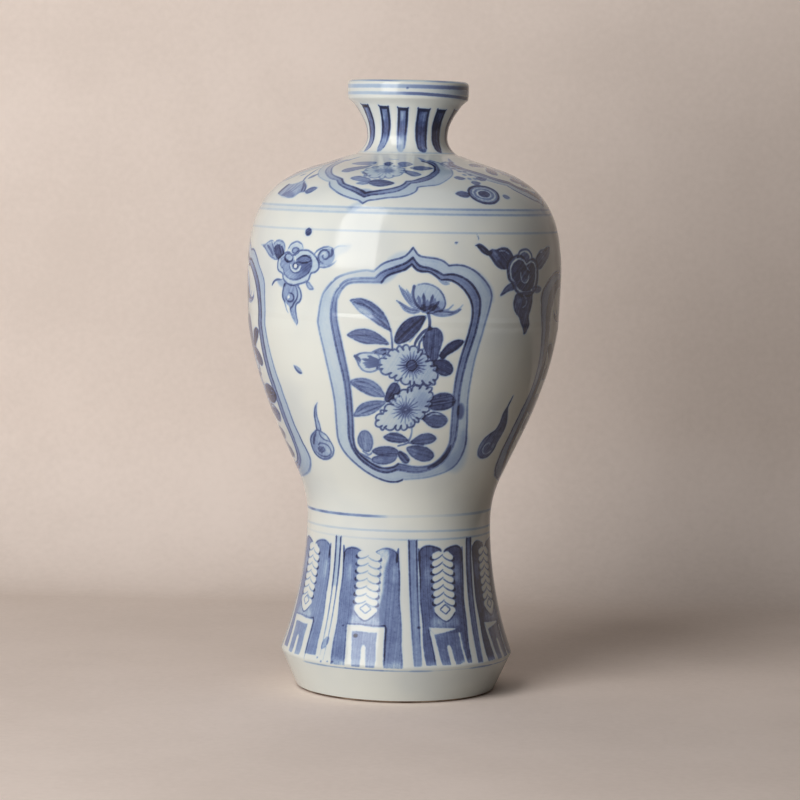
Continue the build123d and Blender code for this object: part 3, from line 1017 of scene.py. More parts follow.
FLOWER_HIGH = [
    (-12, 148.7), (-9.8, 152), (-6.2, 154.6), (-1.2, 156.4), (3.2, 155.8), (6.6, 153.2), (8.6, 150.4),
    (11, 148.2), (12, 144.6), (10.8, 141.2), (7.4, 141.6), (3.6, 141), (0, 141.4), (-4.4, 143.4),
    (-8.2, 145.3), (-11, 146.2),
]
FLOWER_LOW = [
    (-12.4, 124.2), (-11.2, 121.6), (-5.3, 121.6), (0.6, 121.8), (4.2, 124.8), (7.4, 127.8), (9.2, 131.5),
    (10.2, 136.4), (8.8, 139.4), (4.7, 139.4), (-1.6, 137), (-5, 134.6), (-6.8, 130.8), (-9.9, 128),
]


# Streaks in the leaves
SPRAY_HATCHES = [
    [(-22.4, 141), (-16.6, 140.6), (-11.6, 136.8)], [(-20.6, 139.4), (-15.6, 138.4), (-11, 135.6)],
    [(-20.8, 127.6), (-16.8, 130.4), (-11, 131.8)], [(-19, 127.2), (-15, 128.8), (-11.4, 130.6)],
    [(-23.8, 161), (-17, 161), (-9.8, 158.6)], [(-4.6, 159.8), (0.6, 165), (5.8, 169.2)],
    [(-22.6, 140.2), (-17.6, 136.8), (-13.6, 135.2)], [(-7.6, 134.4), (-5.8, 137.4), (-4.4, 140.2)],
    [(10.6, 132.6), (14.6, 133.4), (20, 133.4)], [(9.6, 152.6), (10.2, 158), (10.6, 164)],
]
# Stems: line, width and tone
SPRAY_STEMS = [
    ([(-7.7, 164.2), (-7.1, 160), (-6.7, 155.2)], 0.8, (1, 2)),
    ([(8, 171.2), (8.7, 168), (8.6, 164.9)], 1.2, (1.6, 2.4)),
    ([(9.2, 164.8), (6.6, 163.6), (4.4, 161.2), (3, 158.8), (2.6, 157.2)], 1.2, 2.2),
    ([(6.3, 169.4), (5.2, 165.4), (2.8, 162), (0.4, 158.8)], 0.6, 1.0),
    ([(6.4, 161.4), (4.6, 158.4), (4.6, 155.4)], 0.9, 2.0),
    ([(2.2, 123.6), (2.7, 119.6), (1.7, 116), (0.6, 114.4), (-3, 113.2)], 0.8, (0.8, 1.8)),
    ([(1.2, 114.8), (4.6, 114.2), (8, 113.8)], 0.8, 1.6),
    ([(-15, 154), (-12, 155.4), (-9, 155.5), (-6.6, 155.2)], 1.1, (1.2, 2)),
    ([(-19.6, 109.4), (-16.6, 108), (-14, 106.6)], 0.9, 1.5),
    ([(-17.6, 110.2), (-15.2, 108.8), (-13.6, 110.2)], 0.8, 1.3),
]


def flowering_spray(panel):
    """Two flowers, two buds and leaves on one rising stem."""
    for tone, outline in SPRAY_LEAVES:
        panel.leaf(outline, tone)
    panel.scrape([(9.4, 126.6), (11.6, 127.7), (14.6, 127.4)], 0.5)
    panel.pool(oval((-16.9, 114.6), 0.5, 3.6), -0.5, 0.5)
    panel.pool([(-21.2, 126.8), (-18.4, 128.8), (-14.6, 127.8), (-18, 126.4)], -0.35, 0.6)
    panel.pool([(1.4, 112.2), (4.4, 112.6), (5, 109), (2.6, 109.8)], -0.5, 0.8)
    panel.pool([(-13.4, 106.6), (-10, 107.6), (-8.4, 106), (-11.4, 105.2)], -0.35, 0.7)
    for hatch in SPRAY_HATCHES:
        panel.stroke(hatch, 0.55, 0.7, (0.6, 0.3))
    crescent_leaf(panel)
    opening_bud(panel)
    closed_bud(panel)
    for stem, width, tone in SPRAY_STEMS:
        panel.stroke(stem, width, tone, (1, 0.7))
    panel.pool(oval((8.9, 164.9), 0.9, 0.9), 1.2, 0.5)
    panel.leaf([(-14.6, 154), (-12, 154.9), (-9.4, 155.4), (-9.6, 152.6), (-11.2, 153)], 1.3)
    panel.blossom(
        FLOWER_HIGH, 20, [(-12, 0.28), (0, 0.36), (7, 0.62), (12, 0.5)], (1.6, 148.8), 2.4,
        (2.2, 6.4, 22, (1.7, 1.2)), 1.9,
    )
    panel.pool(oval((1.6, 148.8), 4.6, 4.6), 0.35, 1.8)
    panel.pool([(-3.6, 146), (-1, 144), (2, 143), (5, 144), (4, 146), (0, 145.6)], -0.2, 1.2)
    panel.blossom(
        FLOWER_LOW, 21, [(-12, 0.28), (0, 0.34), (6, 0.55), (11, 0.5)], (-0.3, 129.4), 0.0,
        (0.6, 6.4, 20, (1.5, 1.1)), 1.9,
    )
    panel.pool(oval((-0.9, 129.2), 3.2, 2.8), 0.5, 1.4)
    panel.pool(oval((6, 133.6), 3.6, 3.2), 0.4, 1.8)


def crescent_leaf(panel):
    """The large curled leaf, dark along its back and bare at its fold."""
    back = [
        (-25, 175.7), (-23, 176.5), (-20, 176.6), (-17.4, 175.9), (-14.8, 174.5), (-12.4, 172.6),
        (-10.4, 170.2), (-9, 167.6), (-8, 165), (-7.6, 163),
    ]
    belly = [(-8.6, 163.7), (-10.6, 164.6), (-13, 166), (-16, 168), (-19, 169.8), (-21, 171.2), (-23, 173.4)]
    fold = [(-23.6, 175.2), (-21, 174.3), (-18.6, 173.7), (-16.4, 172.4), (-14.2, 170.2)]
    panel.fill(back + belly, [(-25, 0.7), (-21, 0.85), (-15, 1.2), (-8, 1.75)], -40.0)
    panel.fill(back[:7] + [(-12.2, 168.6), *fold[::-1]], [(-25, 1.1), (-20, 1.7), (-12, 1.8)], -35.0)
    panel.pool([(-21.4, 172.4), (-18.6, 172.2), (-16, 170.6), (-15.6, 168.6), (-18.6, 170)], -0.5, 0.8)
    panel.stroke(back, 0.7, (1.0, 0.9, 0.5, 1.2))
    panel.stroke([*belly, back[0]], 0.65, (0.7, 0.6, 0.3, 1.4))
    panel.stroke(fold, 0.9, 0.8)
    for shift in (0, 1.3):
        panel.stroke([
            (-15.4 - shift, 170.0 - shift), (-12.4 - shift / 2, 167.8 - shift), (-9.4, 165.4 - shift / 3),
        ], 0.6, 0.6)


# Creases in the topmost bud: tip, foot and tone
BUD_CREASES = [
    ((3.4, 178.8), (5, 173.4), 1.1), ((5.8, 179.6), (6.4, 173), 1.7), ((9.8, 179.2), (8.6, 173), 1.6),
    ((12.6, 176.4), (9.8, 172.8), 1.5), ((7.6, 177), (7.4, 172.4), 1.0), ((11, 177.6), (9.2, 172.6), 0.9),
]
# Its outer petals: line, width and tone
BUD_PETALS = [
    ([(-4.6, 182.7), (-3, 179.4), (-1.2, 176.6), (1.4, 174), (4, 172.4)], 0.9, (1.5, 1.4, 1.3)),
    ([(-4.4, 182.5), (-1.6, 179.6), (0.2, 176.8), (2.2, 174.4)], 0.7, (1.1, 0.8, 1.0)),
    ([(-1.4, 181), (0, 178.6), (1.2, 176.6)], 0.9, 1.2),
    ([(-5.4, 176.2), (-2.6, 174.4), (0.4, 172.9), (3.4, 172.6)], 1.1, (1.7, 1.3, 1.1)),
    ([(-4, 174.4), (-1.4, 172), (1.4, 171.1), (4.2, 171.7)], 0.8, (0.9, 1.2)),
    ([(8.6, 171.4), (12.6, 170.2), (16.6, 170.4), (20, 171.6), (21.8, 173)], 0.9, (1.4, 1.0, 1.6)),
    ([(10.6, 171.9), (14.6, 172.1), (18.6, 171.9), (21.8, 173)], 0.8, (1.8, 1.4, 1.6)),
    ([(13.8, 172.4), (16.4, 172.9), (18.6, 174.8)], 0.7, (1.2, 0.9)),
    ([(19.6, 172.4), (21.4, 173.4), (22.8, 174.9)], 0.6, (1, 0.5)),
]


def opening_bud(panel):
    """The topmost bud: a pale dome on dark strokes, with parted outer petals."""
    dome = [
        (1.4, 182.3), (3.4, 183.2), (6.6, 183.7), (10, 182.8), (12.8, 180.8), (14.6, 178), (15.2, 175),
        (14.2, 172.6), (9, 171.4), (4.6, 172.4), (2.4, 175.4), (1.4, 179),
    ]
    panel.fill(dome, [(1, 0.6), (6, 0.5), (15, 0.55)], 60.0)
    panel.pool([(9, 173), (11.6, 176), (14.4, 176), (14.4, 172.8)], 0.4, 1.0)
    panel.fill([
        (4.6, 173), (5.4, 175), (7.6, 174), (10, 175.2), (12.8, 173.6), (14.2, 171.8), (9, 170.9),
        (5.4, 171.6),
    ], 1.5)
    panel.stroke(dome[1:8], 0.7, (0.9, 1.2, 1.5, 1.3), (0.8, 0.8))
    panel.stroke([
        (1.8, 182.5), (1.3, 179.6), (2, 176.4), (3.6, 174), (6.6, 172.4),
    ], 1.2, (1.6, 2.0, 2.2), (1, 0.8))
    for tip, foot, tone in BUD_CREASES:
        panel.stroke([tip, foot], 1.3, tone, (0.2, 1))
    for petal, width, tone in BUD_PETALS:
        panel.stroke(petal, width, tone, (0.5, 0.8))
    panel.fill([(-3.8, 181.4), (-1.8, 178), (0.6, 175.2), (2.4, 174), (0.6, 177), (-1.4, 179.8)], 0.6, 120.0)
    panel.fill([(-4, 175.2), (-0.6, 173), (3.4, 172.4), (2.4, 171.3), (-0.8, 171.8)], 0.8, -30.0)
    panel.fill([
        (10.6, 171.5), (15, 171.9), (19.4, 171.8), (21.2, 172.6), (18, 170.9), (13, 170.5),
    ], 1.0, 10.0)


# Fingers in the heart of the round bud
BUD_FINGERS = [
    [(-19.4, 151), (-13, 149.8)],
    [(-19, 149.2), (-12.8, 149.2)],
    [(-17.8, 147.5), (-12.8, 148.6)],
    [(-17, 152.4), (-12.8, 150.6)],
    [(-18.2, 148.4), (-13, 148.8)],
]


def closed_bud(panel):
    """A round bud at the left, outlined over a pale wash, with a fingered heart."""
    husk = [
        (-22.2, 152), (-20, 153.4), (-16.4, 153.8), (-12.8, 153.2), (-11.8, 150), (-12.6, 147),
        (-15.4, 145.5), (-18.4, 145.9), (-20.4, 147.8), (-21.4, 150),
    ]
    panel.fill(husk, 0.26, 20.0)
    panel.ring(husk, 0.7, (1.9, 1.0, 0.7, 1.3, 1.0, 1.2, 1.9))
    panel.stroke([(-22.4, 152.1), (-20.8, 151), (-20.2, 149.4)], 1.3, (2.2, 1.2), (1, 0.3))
    for finger in BUD_FINGERS:
        panel.stroke(finger, 1.4, (1.3, 1.7), (0.3, 1))


def cloud(work, azimuth, dark):
    """A cloud with a heart-shaped head, side scrolls and a trailing tail, over a comma-shaped flame."""
    patch = Canvas(work, azimuth, 32.0, 98.0, 203.0, True)
    if dark:
        dark_cloud(patch)
        dark_flame(patch)
    else:
        pale_cloud(patch)
        pale_flame(patch)


def pale_cloud(patch):
    """The cloud drawn in lines over light washes."""
    patch.fill([
        (-24, 197), (-20, 197.6), (-16.6, 198.8), (-14.2, 198.2), (-11, 199.2), (-7.6, 198.4), (-6.2, 195.6),
        (-8.5, 192.4), (-11.5, 191.8), (-16, 192.8), (-20.4, 195.2),
    ], 0.7, -45.0)
    patch.stroke([
        (-25.8, 197.3), (-22, 197.4), (-19.6, 198.4), (-17.4, 199.2), (-15.4, 199.3), (-14, 198.6),
    ], 0.7, (0.5, 1.0, 1.3))
    patch.stroke([
        (-14.2, 198.2), (-12.2, 199.5), (-9.5, 199.6), (-7.4, 198.8), (-6.3, 197.2), (-6, 195.6),
    ], 0.75, (1.2, 1.5, 1.3))
    patch.stroke([
        (-24.6, 197.2), (-22, 196.4), (-20, 195), (-17, 193), (-14, 191.9), (-11.5, 191.5), (-9.4, 191.9),
    ], 0.75, (0.6, 1.2, 1.4))
    patch.fill([
        (-13.8, 196.2), (-12.6, 197.6), (-9.8, 197.9), (-7.4, 196.6), (-6.3, 194.4), (-7.6, 192.6),
        (-9.6, 191.7), (-11.6, 192.2), (-13, 194),
    ], 2.4, -60.0)
    patch.stroke([(-19.4, 197.2), (-16.8, 195.6), (-14.2, 193.2)], 1.3, 1.0)
    patch.stroke([(-16, 198), (-14.4, 196.2), (-13.2, 193.6)], 0.9, 0.9)
    patch.stroke([(-4, 196.3), (-2.6, 198.2), (0, 199.4), (1.8, 199.5), (4, 198.4), (5, 196.6)], 0.75, 1.4)
    patch.fill([(-3.6, 196.3), (-1.6, 198.2), (1.2, 198.9), (3.8, 197.9), (4.6, 196.2), (0.6, 194.6)], 0.3)
    patch.fill(oval((0.7, 195.7), 2.0, 1.2), 0.9)
    patch.ring(oval((0.7, 195.7), 2.1, 1.3), 0.65, 1.5)
    patch.stroke([(0.8, 194.6), (0.8, 193.6)], 0.9, 1.4, (0.8, 0.6))
    head = [
        (2, 195.4), (4, 196), (6.4, 196.2), (8.6, 195.8), (11, 194.4), (13, 192.4), (13.9, 190),
        (13.6, 188.4), (12, 187), (10, 186.4), (9, 184.2), (8, 183), (5, 182), (2.6, 181.4), (0, 180.9),
        (-2.6, 181.2), (-5, 182.4), (-6.4, 183.8), (-6.9, 185.6), (-9.8, 187), (-10.4, 189), (-10, 191.4),
        (-8.8, 192.6), (-7, 193.8), (-5, 194.8), (-3, 194.9), (-0.6, 193.6),
    ]
    face = [
        (-8.4, 192), (-8.6, 190), (-7.8, 188.4), (-6.4, 187.6), (-5.6, 185.6), (-3.6, 184.2), (-1, 183.4),
        (2, 183.4), (5, 184.4), (8, 186), (9.6, 188), (10.4, 191), (9.6, 193.2), (8, 194.2), (6, 194.2),
        (4, 193.4), (0.6, 191.8), (-2.4, 193.8), (-4.6, 194), (-6.6, 193.2),
    ]
    patch.fill(head, 0.34)
    patch.ring(head, 0.75, 1.5)
    patch.fill(face, [(-8, 0.9), (0, 0.95), (4, 1.25), (10, 1.45)], 35.0)
    patch.stroke(face[1:13], 0.65, (0.9, 1.2, 1.1, 0.7))
    patch.pool([(2.4, 190.4), (9.6, 190.8), (9.8, 188.4), (6.6, 186.6), (3.6, 188.4)], 0.45, 1.2)
    patch.reserve(oval((-3, 192.7), 2.3, 1.3, -12.0))
    patch.fill(oval((-3, 192.7), 2.1, 1.1, -12.0), 0.6)
    patch.ring(oval((-3, 192.7), 2.5, 1.5, -12.0), 0.65, 1.5)
    patch.stroke([(-6.2, 192.6), (-4.8, 191.2), (-2.8, 190.8), (-0.6, 191.4)], 0.8, (1.6, 1.9, 1.2))
    patch.fill([(2.2, 191.6), (4.4, 192.9), (7, 193.1), (9.4, 192), (7.4, 191.2), (4.6, 191)], 1.35)
    patch.stroke([(1.6, 191.8), (4.2, 193.4), (6.8, 193.8), (9, 193), (10, 191.6)], 0.7, (1.0, 1.7, 1.3))
    patch.stroke([(1.8, 191.2), (4.6, 190.7), (7.4, 190.9), (9.4, 191.6)], 0.7, (0.8, 1.6, 1.4))
    patch.scrape([(-1.7, 189.6), (-0.9, 187.8), (1.2, 187), (3.2, 187.7), (4, 189.2)], 0.8)
    patch.stroke([
        (-2.4, 189.9), (-1.7, 187.4), (1.1, 186.2), (3.7, 187), (4.6, 188.6),
    ], 0.55, (0.9, 1.3, 0.8))
    patch.reserve(oval((1.2, 189.2), 1.2, 1.1))
    patch.ring(oval((1.2, 189.2), 1.3, 1.2), 0.55, 1.5)
    patch.scrape([(0.8, 193.2), (1, 191.4)], 0.7)
    patch.fill([
        (12.4, 192.6), (13.4, 195.4), (16, 197), (19.4, 197), (21, 194), (19.6, 190.8), (16, 189.8),
        (13.8, 190.4),
    ], 0.7)
    patch.stroke([
        (11, 194.6), (12.6, 196.2), (15, 197.5), (17.5, 198), (19.2, 197.7),
    ], 0.75, (1.3, 1.5, 1.1))
    patch.stroke([
        (13.6, 189.6), (16, 189.2), (18.6, 189.8), (20.6, 191), (22, 192.4),
    ], 0.75, (1.4, 1.2, 0.5))
    patch.pool(oval((16, 194.8), 1.2, 0.9), -0.5, 0.5)
    patch.stroke(spiral((16.4, 194.2), 0.9, 3.4, 1.25, 170.0), 0.7, (1.0, 1.4, 1.2), (1, 0.6))
    patch.stroke([(19.6, 197.2), (19.8, 195.4), (18.8, 193.6)], 1.3, (1.5, 0.9))
    patch.pool([
        (19.6, 196.4), (22.4, 198.8), (27.4, 199.2), (26.4, 196.6), (23, 194.6), (20.6, 192.8),
    ], 0.16, 1.0)
    patch.stroke([(20, 197), (22.4, 198.4), (27, 198.6)], 0.6, (0.6, 0.3, 0.2))
    patch.stroke([(-14.2, 180.4), (-13.4, 181.4), (-12, 182.4), (-10, 183), (-7, 183)], 0.9, (2.0, 1.6, 1.0))
    patch.pool([(-10.5, 182.6), (-6, 182.8), (-4.6, 180.6), (-8, 180)], 0.75, 0.7)
    patch.leaf([
        (7.2, 183.2), (8.8, 182.6), (10.6, 180.8), (11.2, 179.7), (9, 179.8), (7.8, 181.2),
    ], 0.6, 1.0)
    tail_left = [
        (-5, 181.6), (-6.2, 179.6), (-6.8, 177), (-6.6, 175.2), (-5.6, 173.8), (-4.8, 172), (-4.2, 170.4),
        (-3.2, 169),
    ]
    tail_right = [
        (2.8, 180.8), (4, 179.4), (4.7, 177.4), (4.6, 175.6), (3.6, 174), (2, 173), (1.4, 171.4),
        (1.6, 169.6), (2, 167.4), (2.6, 165.4), (2, 164),
    ]
    patch.fill([
        *tail_left[:5], (-2.6, 171.6), (-1, 168.8), (0.6, 165.8), *tail_right[::-1],
    ], [(-6.8, 1), (0, 1), (2, 0.65), (4.7, 0.45)], 60.0)
    patch.stroke(tail_left, 0.75, (1.4, 1.5, 1.0), (1, 0.5))
    patch.stroke(tail_right, 0.8, (1.2, 1.5, 1.2, 1.0), (1, 0.5))
    patch.stroke([
        (1.4, 180.6), (2.4, 178.6), (2.6, 176.6), (1.8, 174.8), (0.4, 173.2), (-0.6, 171.8), (-1.8, 170.6),
        (-1, 168), (0.8, 165),
    ], 0.75, (1.4, 1.5, 0.7))
    patch.reserve(oval((-2.8, 175.8), 0.8, 0.7))
    patch.stroke([
        (-2.6, 177.6), (-1, 177.4), (0.4, 176.2), (0, 174.6), (-2, 173.8), (-4, 174.4), (-5, 176),
    ], 0.75, (1.6, 1.4, 0.9))


def dark_cloud(patch):
    """The cloud brushed in with a full brush, so that only a few pale lines stay open."""
    patch.stroke([
        (-24.8, 199.9), (-23, 200.2), (-21, 199.2), (-19.4, 197.6), (-18, 196.8),
    ], 1.1, 2.4, (0.3, 1))
    patch.stroke([(-23.8, 199.4), (-22, 197.4), (-20.4, 196.4), (-18.6, 195.8)], 0.9, (2.2, 2))
    patch.fill([
        (-24.4, 199.9), (-22, 199.6), (-19, 197.6), (-18, 195.4), (-20.6, 196.4), (-22.8, 198.4),
    ], 2.3, -40.0)
    patch.fill([
        (-19.4, 196.6), (-17.4, 198.4), (-15.4, 198.2), (-11.8, 199.2), (-9, 198.8), (-7, 197.2), (-6, 195),
        (-6.4, 193), (-8, 191), (-10, 190), (-13, 190), (-15.6, 191.4), (-17.4, 193.6),
    ], 2.6, -50.0)
    patch.pool(oval((-15.6, 195.6), 1.2, 2.4, 35.0), -1.1, 0.7)
    patch.scrape([(-13.6, 197.6), (-11, 197.8), (-8.6, 196.4)], 0.5)
    patch.stroke([
        (-3.4, 195), (-2, 197.2), (0.6, 198.2), (3.6, 198), (5.8, 196.2), (6.2, 194.2),
    ], 0.9, 2.0, (1, 1))
    patch.fill([(-2, 195.2), (-0.6, 196.8), (2, 197), (4.2, 195.6), (3.6, 193.6), (0, 193.6)], 1.8)
    heart = [
        (0.8, 193), (-1, 194), (-3.4, 194.2), (-6, 193), (-7.6, 191), (-7.9, 188.6), (-7.2, 186),
        (-5.2, 184.2), (-4.2, 182.4), (-2.6, 181), (0, 180), (2.6, 179.8), (5.4, 180.4), (7.4, 182),
        (8.6, 185), (8.8, 188), (8.6, 190.4), (7.4, 192.4), (5.2, 193), (3.4, 192.4), (1.8, 191.8),
    ]
    outside = np.array([0.5, 187.0]) + (np.array(heart) - [0.5, 187.0]) * 1.22
    patch.fill(outside, 2.1)
    patch.ring(outside, 0.8, 1.2)
    patch.fill(heart, [(-8, 2.3), (0, 2.6), (9, 2.5)], 45.0)
    patch.scrape(heart, 0.85, closed=True)
    patch.scrape([(-1.8, 188.6), (-1.2, 185.4), (1, 183.9), (3.2, 184.9), (3.8, 187.8)], 0.5)
    patch.scrape([(1.8, 191.8), (2.6, 190.2), (4.2, 189.2)], 0.5)
    patch.pool([(-1.4, 187), (-0.6, 184.6), (1.4, 183.8), (3.6, 184.8), (4.2, 187), (1.4, 185.6)], -0.7, 0.6)
    patch.pool(oval((1.2, 188.2), 1.4, 1.1), -0.6, 0.6)
    patch.fill([
        (9, 193), (11, 196), (15, 197), (19, 199), (22.4, 198.6), (21, 195.4), (17, 192.4), (12, 189.6),
    ], 2.0, 30.0)
    patch.stroke([(9, 194), (13, 197.2), (17, 197.8), (22.4, 199)], 1.0, 1.4)
    patch.pool(oval((15, 194.4), 1.6, 1.0), -0.7, 0.7)
    patch.leaf([(-5, 184.4), (-8, 183.8), (-10.6, 182), (-13, 178.7), (-9, 180.4), (-4.6, 181.8)], 2.0)
    patch.leaf([(6.6, 181.4), (10, 182.4), (13.6, 181.4), (12.6, 180), (9, 179.8)], 1.8)
    patch.fill([
        (-3.4, 179.6), (-4.8, 177.4), (-5.4, 175.4), (-4.8, 173), (-3.6, 171), (-1.8, 169.4), (-0.8, 167.6),
        (1.4, 163.8), (2.2, 161.8), (3.4, 162.2), (4.4, 163.6), (5.6, 165.6), (5.4, 167.4), (5, 170.2),
        (6, 172.4), (6.8, 175), (6.8, 178), (6, 180.2),
    ], 2.3, 70.0)
    patch.stroke([(-3.4, 179.8), (-5, 177), (-5, 173.4), (-3, 170.4)], 0.8, 0.9)
    patch.stroke([(6, 180), (6.8, 177), (5.8, 172.4), (4.6, 169), (5.2, 166), (2.6, 162.2)], 0.8, 0.9)
    patch.pool(oval((-1.8, 176.4), 1.3, 1.1), -0.9, 0.6)
    patch.scrape([(0.6, 178.8), (2.6, 177), (2.6, 174.6), (0.6, 173.4)], 0.4)


def pale_flame(patch):
    """A comma-shaped flame in lines, whose tail licks upward."""
    bulb = [
        (2.4, 118.4), (0.6, 117.4), (-1.6, 116), (-3.4, 114.2), (-4.3, 112), (-4.4, 110), (-4, 107.8),
        (-2.6, 106.2), (-0.4, 105.2), (2, 105.1), (4.4, 105.8), (6.8, 107.4), (8.2, 109.6), (8.5, 111.4),
        (8, 113.4), (7, 116), (5.6, 117.2), (4.2, 117.8),
    ]
    left = [(2.2, 118.6), (2.8, 122), (3.2, 124.6), (4.2, 127.4), (5.4, 129.2), (6.9, 130.8)]
    right = [(4.4, 118), (4.8, 121), (4.6, 124), (5, 126.4), (6, 129)]
    patch.fill(bulb, [(-4.4, 1.1), (1, 0.95), (8, 0.5)], 60.0)
    patch.fill(left + right[::-1], 0.8, 80.0)
    patch.ring(bulb, 0.7, 1.3)
    patch.stroke(left, 0.75, (1.5, 1.5, 1.2), (1, 0.3))
    patch.stroke(right, 0.7, (1.2, 0.9), (1, 0.3))
    patch.stroke([(3.4, 118), (3.2, 116), (4.2, 114.6), (6.2, 113.8), (7.8, 113.4)], 0.7, 1.2)
    patch.pool(oval((5.6, 115.4), 1.3, 0.9, -30.0), -0.35, 0.5)
    patch.stroke([
        (0.2, 111.4), (1.6, 112.4), (3.8, 112.4), (5.8, 111.6), (6.6, 110), (6.2, 108.2), (4.6, 107),
        (2.4, 106.4), (-0.4, 106.8), (-2.4, 108.4),
    ], 0.7, (1.3, 1.2, 0.9))
    patch.fill(oval((1.4, 109.6), 2.4, 1.5, 15.0), 1.9)
    patch.stroke([(-2.6, 111.6), (-0.8, 114.8), (1.4, 117.2)], 1.0, 1.3)


def dark_flame(patch):
    """The same flame with a full brush."""
    flame = [
        (4.2, 134.6), (3, 132), (2.4, 130), (1.4, 128), (1, 126), (1, 123), (0.4, 121), (-0.6, 119.4),
        (-3.4, 117.8), (-5.6, 115.6), (-6.5, 112.6), (-6, 109.8), (-4.4, 107.8), (-1.6, 106.9), (1, 107.4),
        (2.8, 108.8), (4, 111), (4.2, 113.6), (5, 116), (5.8, 118.6), (6, 121.4), (5.4, 124), (4.4, 126.2),
        (3.4, 128.4), (3.2, 130.6),
    ]
    patch.fill(flame, [(-6.5, 1.3), (-3, 1.9), (6, 2.3)], 70.0)
    patch.ring(flame, 0.65, 0.8)
    patch.scrape(spiral((-1.2, 112), 1.4, 3.6, 0.8, 40.0), 0.4)
    patch.pool(oval((2, 112.4), 0.8, 1.0), -0.8, 0.5)


def fan(points):
    """Points on the shoulder, from degrees round and distance along the outline to millimetres."""
    return [(along_outline(reach)[0][0] * radians(turn), reach) for turn, reach in points]


# The shoulder panels: runs in degrees round and distance along the outline, the third hidden by the neck
SHOULDER_OUTER = [
    [(0, 225.6), (2, 227.2), (5, 227.8), (9, 228.8), (14, 229.5), (18, 230.7), (21, 232.9), (22, 235.6)],
    [
        (22, 235.6), (25, 236.3), (29, 236.9), (32, 237.9), (36, 240.8), (41, 245.3), (44, 250.8),
        (45, 257.2), (42, 261.3), (36, 264.6),
    ],
    [(36, 264.6), (0, 265.2), (-40, 263)],
    [
        (-40, 263), (-48, 259.3), (-44, 252.3), (-37, 246.2), (-32, 242.4), (-28, 240.4), (-23, 238.5),
        (-20.5, 238),
    ],
    [(-20.5, 238), (-18, 234.7), (-14, 232), (-10, 229.8), (-6, 228.3), (-2, 227.1), (0, 225.6)],
]
SHOULDER_MIDDLE = [
    [(0, 229), (3, 230.2), (7, 230.9), (13, 232.6), (16, 234.7), (19, 238.2)],
    [(19, 238.2), (22, 238.8), (27, 240.9), (31, 244), (35, 248.7), (37, 254), (38, 260.5), (34, 263.6)],
    [(34, 263.6), (26, 268), (0, 268.6), (-28, 268), (-38, 262.6)],
    [(-38, 262.6), (-42, 257.2), (-37, 251.8), (-32, 246.9), (-27, 243.5), (-22, 240.6), (-17, 239.2)],
    [(-17, 239.2), (-14, 236.3), (-10, 234), (-6, 232.3), (-2, 230.1), (0, 229)],
]
SHOULDER_INNER = [
    [(0, 231.3), (2, 232), (6, 233), (10, 234.1), (14, 235.9), (16, 237.8), (17, 239.7)],
    [
        (17, 239.7), (20, 240.2), (24, 242.4), (28, 244.8), (31, 248), (33, 250.4), (35, 255.4), (34, 259.5),
        (29, 263),
    ],
    [(29, 263), (22, 272), (0, 272.6), (-24, 272), (-34, 262.2)],
    [
        (-34, 262.2), (-37, 260.4), (-36, 256.6), (-33, 252), (-27, 246.6), (-23, 243.7), (-19, 242),
        (-15, 240.5),
    ],
    [(-15, 240.5), (-12, 237.1), (-9, 235.7), (-5, 234.2), (-1, 232.2), (0, 231.3)],
]
SHOULDER_TONES = [
    [(1.6, 1.4, 1.4), (1.5, 0.7, 0.6, 1.0, 1.2), None, (0.7, 0.5, 0.6, 0.5), (1.3, 1.7, 1.3)],
    [(1.6, 1.0, 1.2), (1.1, 0.9, 1.0, 1.4), None, (0.6, 0.8, 0.9), (1.2, 1.5, 1.7)],
    [(2.2, 1.5, 1.8), (1.6, 1.2, 1.7, 2.0, 1.9), None, (0.7, 1.1, 1.3), (1.8, 1.5, 2.2)],
]
SHOULDER_OUTER_WASH = [(-30, 0.3), (0, 0.32), (12, 0.34), (24, 0.42)]
SHOULDER_INNER_WASH = [(-24, 0.75), (-8, 1), (-2, 1.5), (2, 1.6), (5, 1.1), (12, 0.9), (18, 1.1), (24, 1.6)]
# The leaves in a shoulder panel: tone and outline
SHOULDER_LEAVES = [
    (1.15, [
        (-20, 247.1), (-20, 249.8), (-15, 252.8), (-9, 254.7), (-6, 255.5), (-8, 251.7), (-12, 248.9),
        (-16, 246.5),
    ]),
    (1.0, [(-23, 257.1), (-19, 260), (-7, 260.6), (-6, 257.1), (-13, 256)]),
    (1.8, [(1, 258.2), (3, 260.8), (7, 259.2), (5, 255.6)]),
    (1.3, [(11, 259.9), (16, 261.5), (21, 258.4), (16, 254.5), (13, 255.1)]),
    (1.5, [(19, 253.2), (26, 256), (33, 253.1), (25, 250.1)]),
    (1.5, [(15, 249.5), (20, 248.9), (24.5, 245.7), (21, 243.9), (18, 245.4)]),
    (1.9, [(-0.5, 237.9), (2, 240.3), (7, 240.1), (11.5, 237.9), (7, 235.7), (3, 235.9)]),
    (1.2, [(-10.5, 241.1), (-7, 243), (-1, 241), (0, 238.6), (-6, 239.2)]),
    (1.0, [(-6, 237.3), (-3, 238.4), (0, 237.5), (-3, 236.5)]),
]
SHOULDER_FLOWER = [
    (-6, 248.6), (-4, 251.9), (1, 255), (9, 255.2), (14, 251.5), (15, 247.9), (12, 244.2), (6, 242.6),
    (1, 242.7), (-4, 244.5),
]


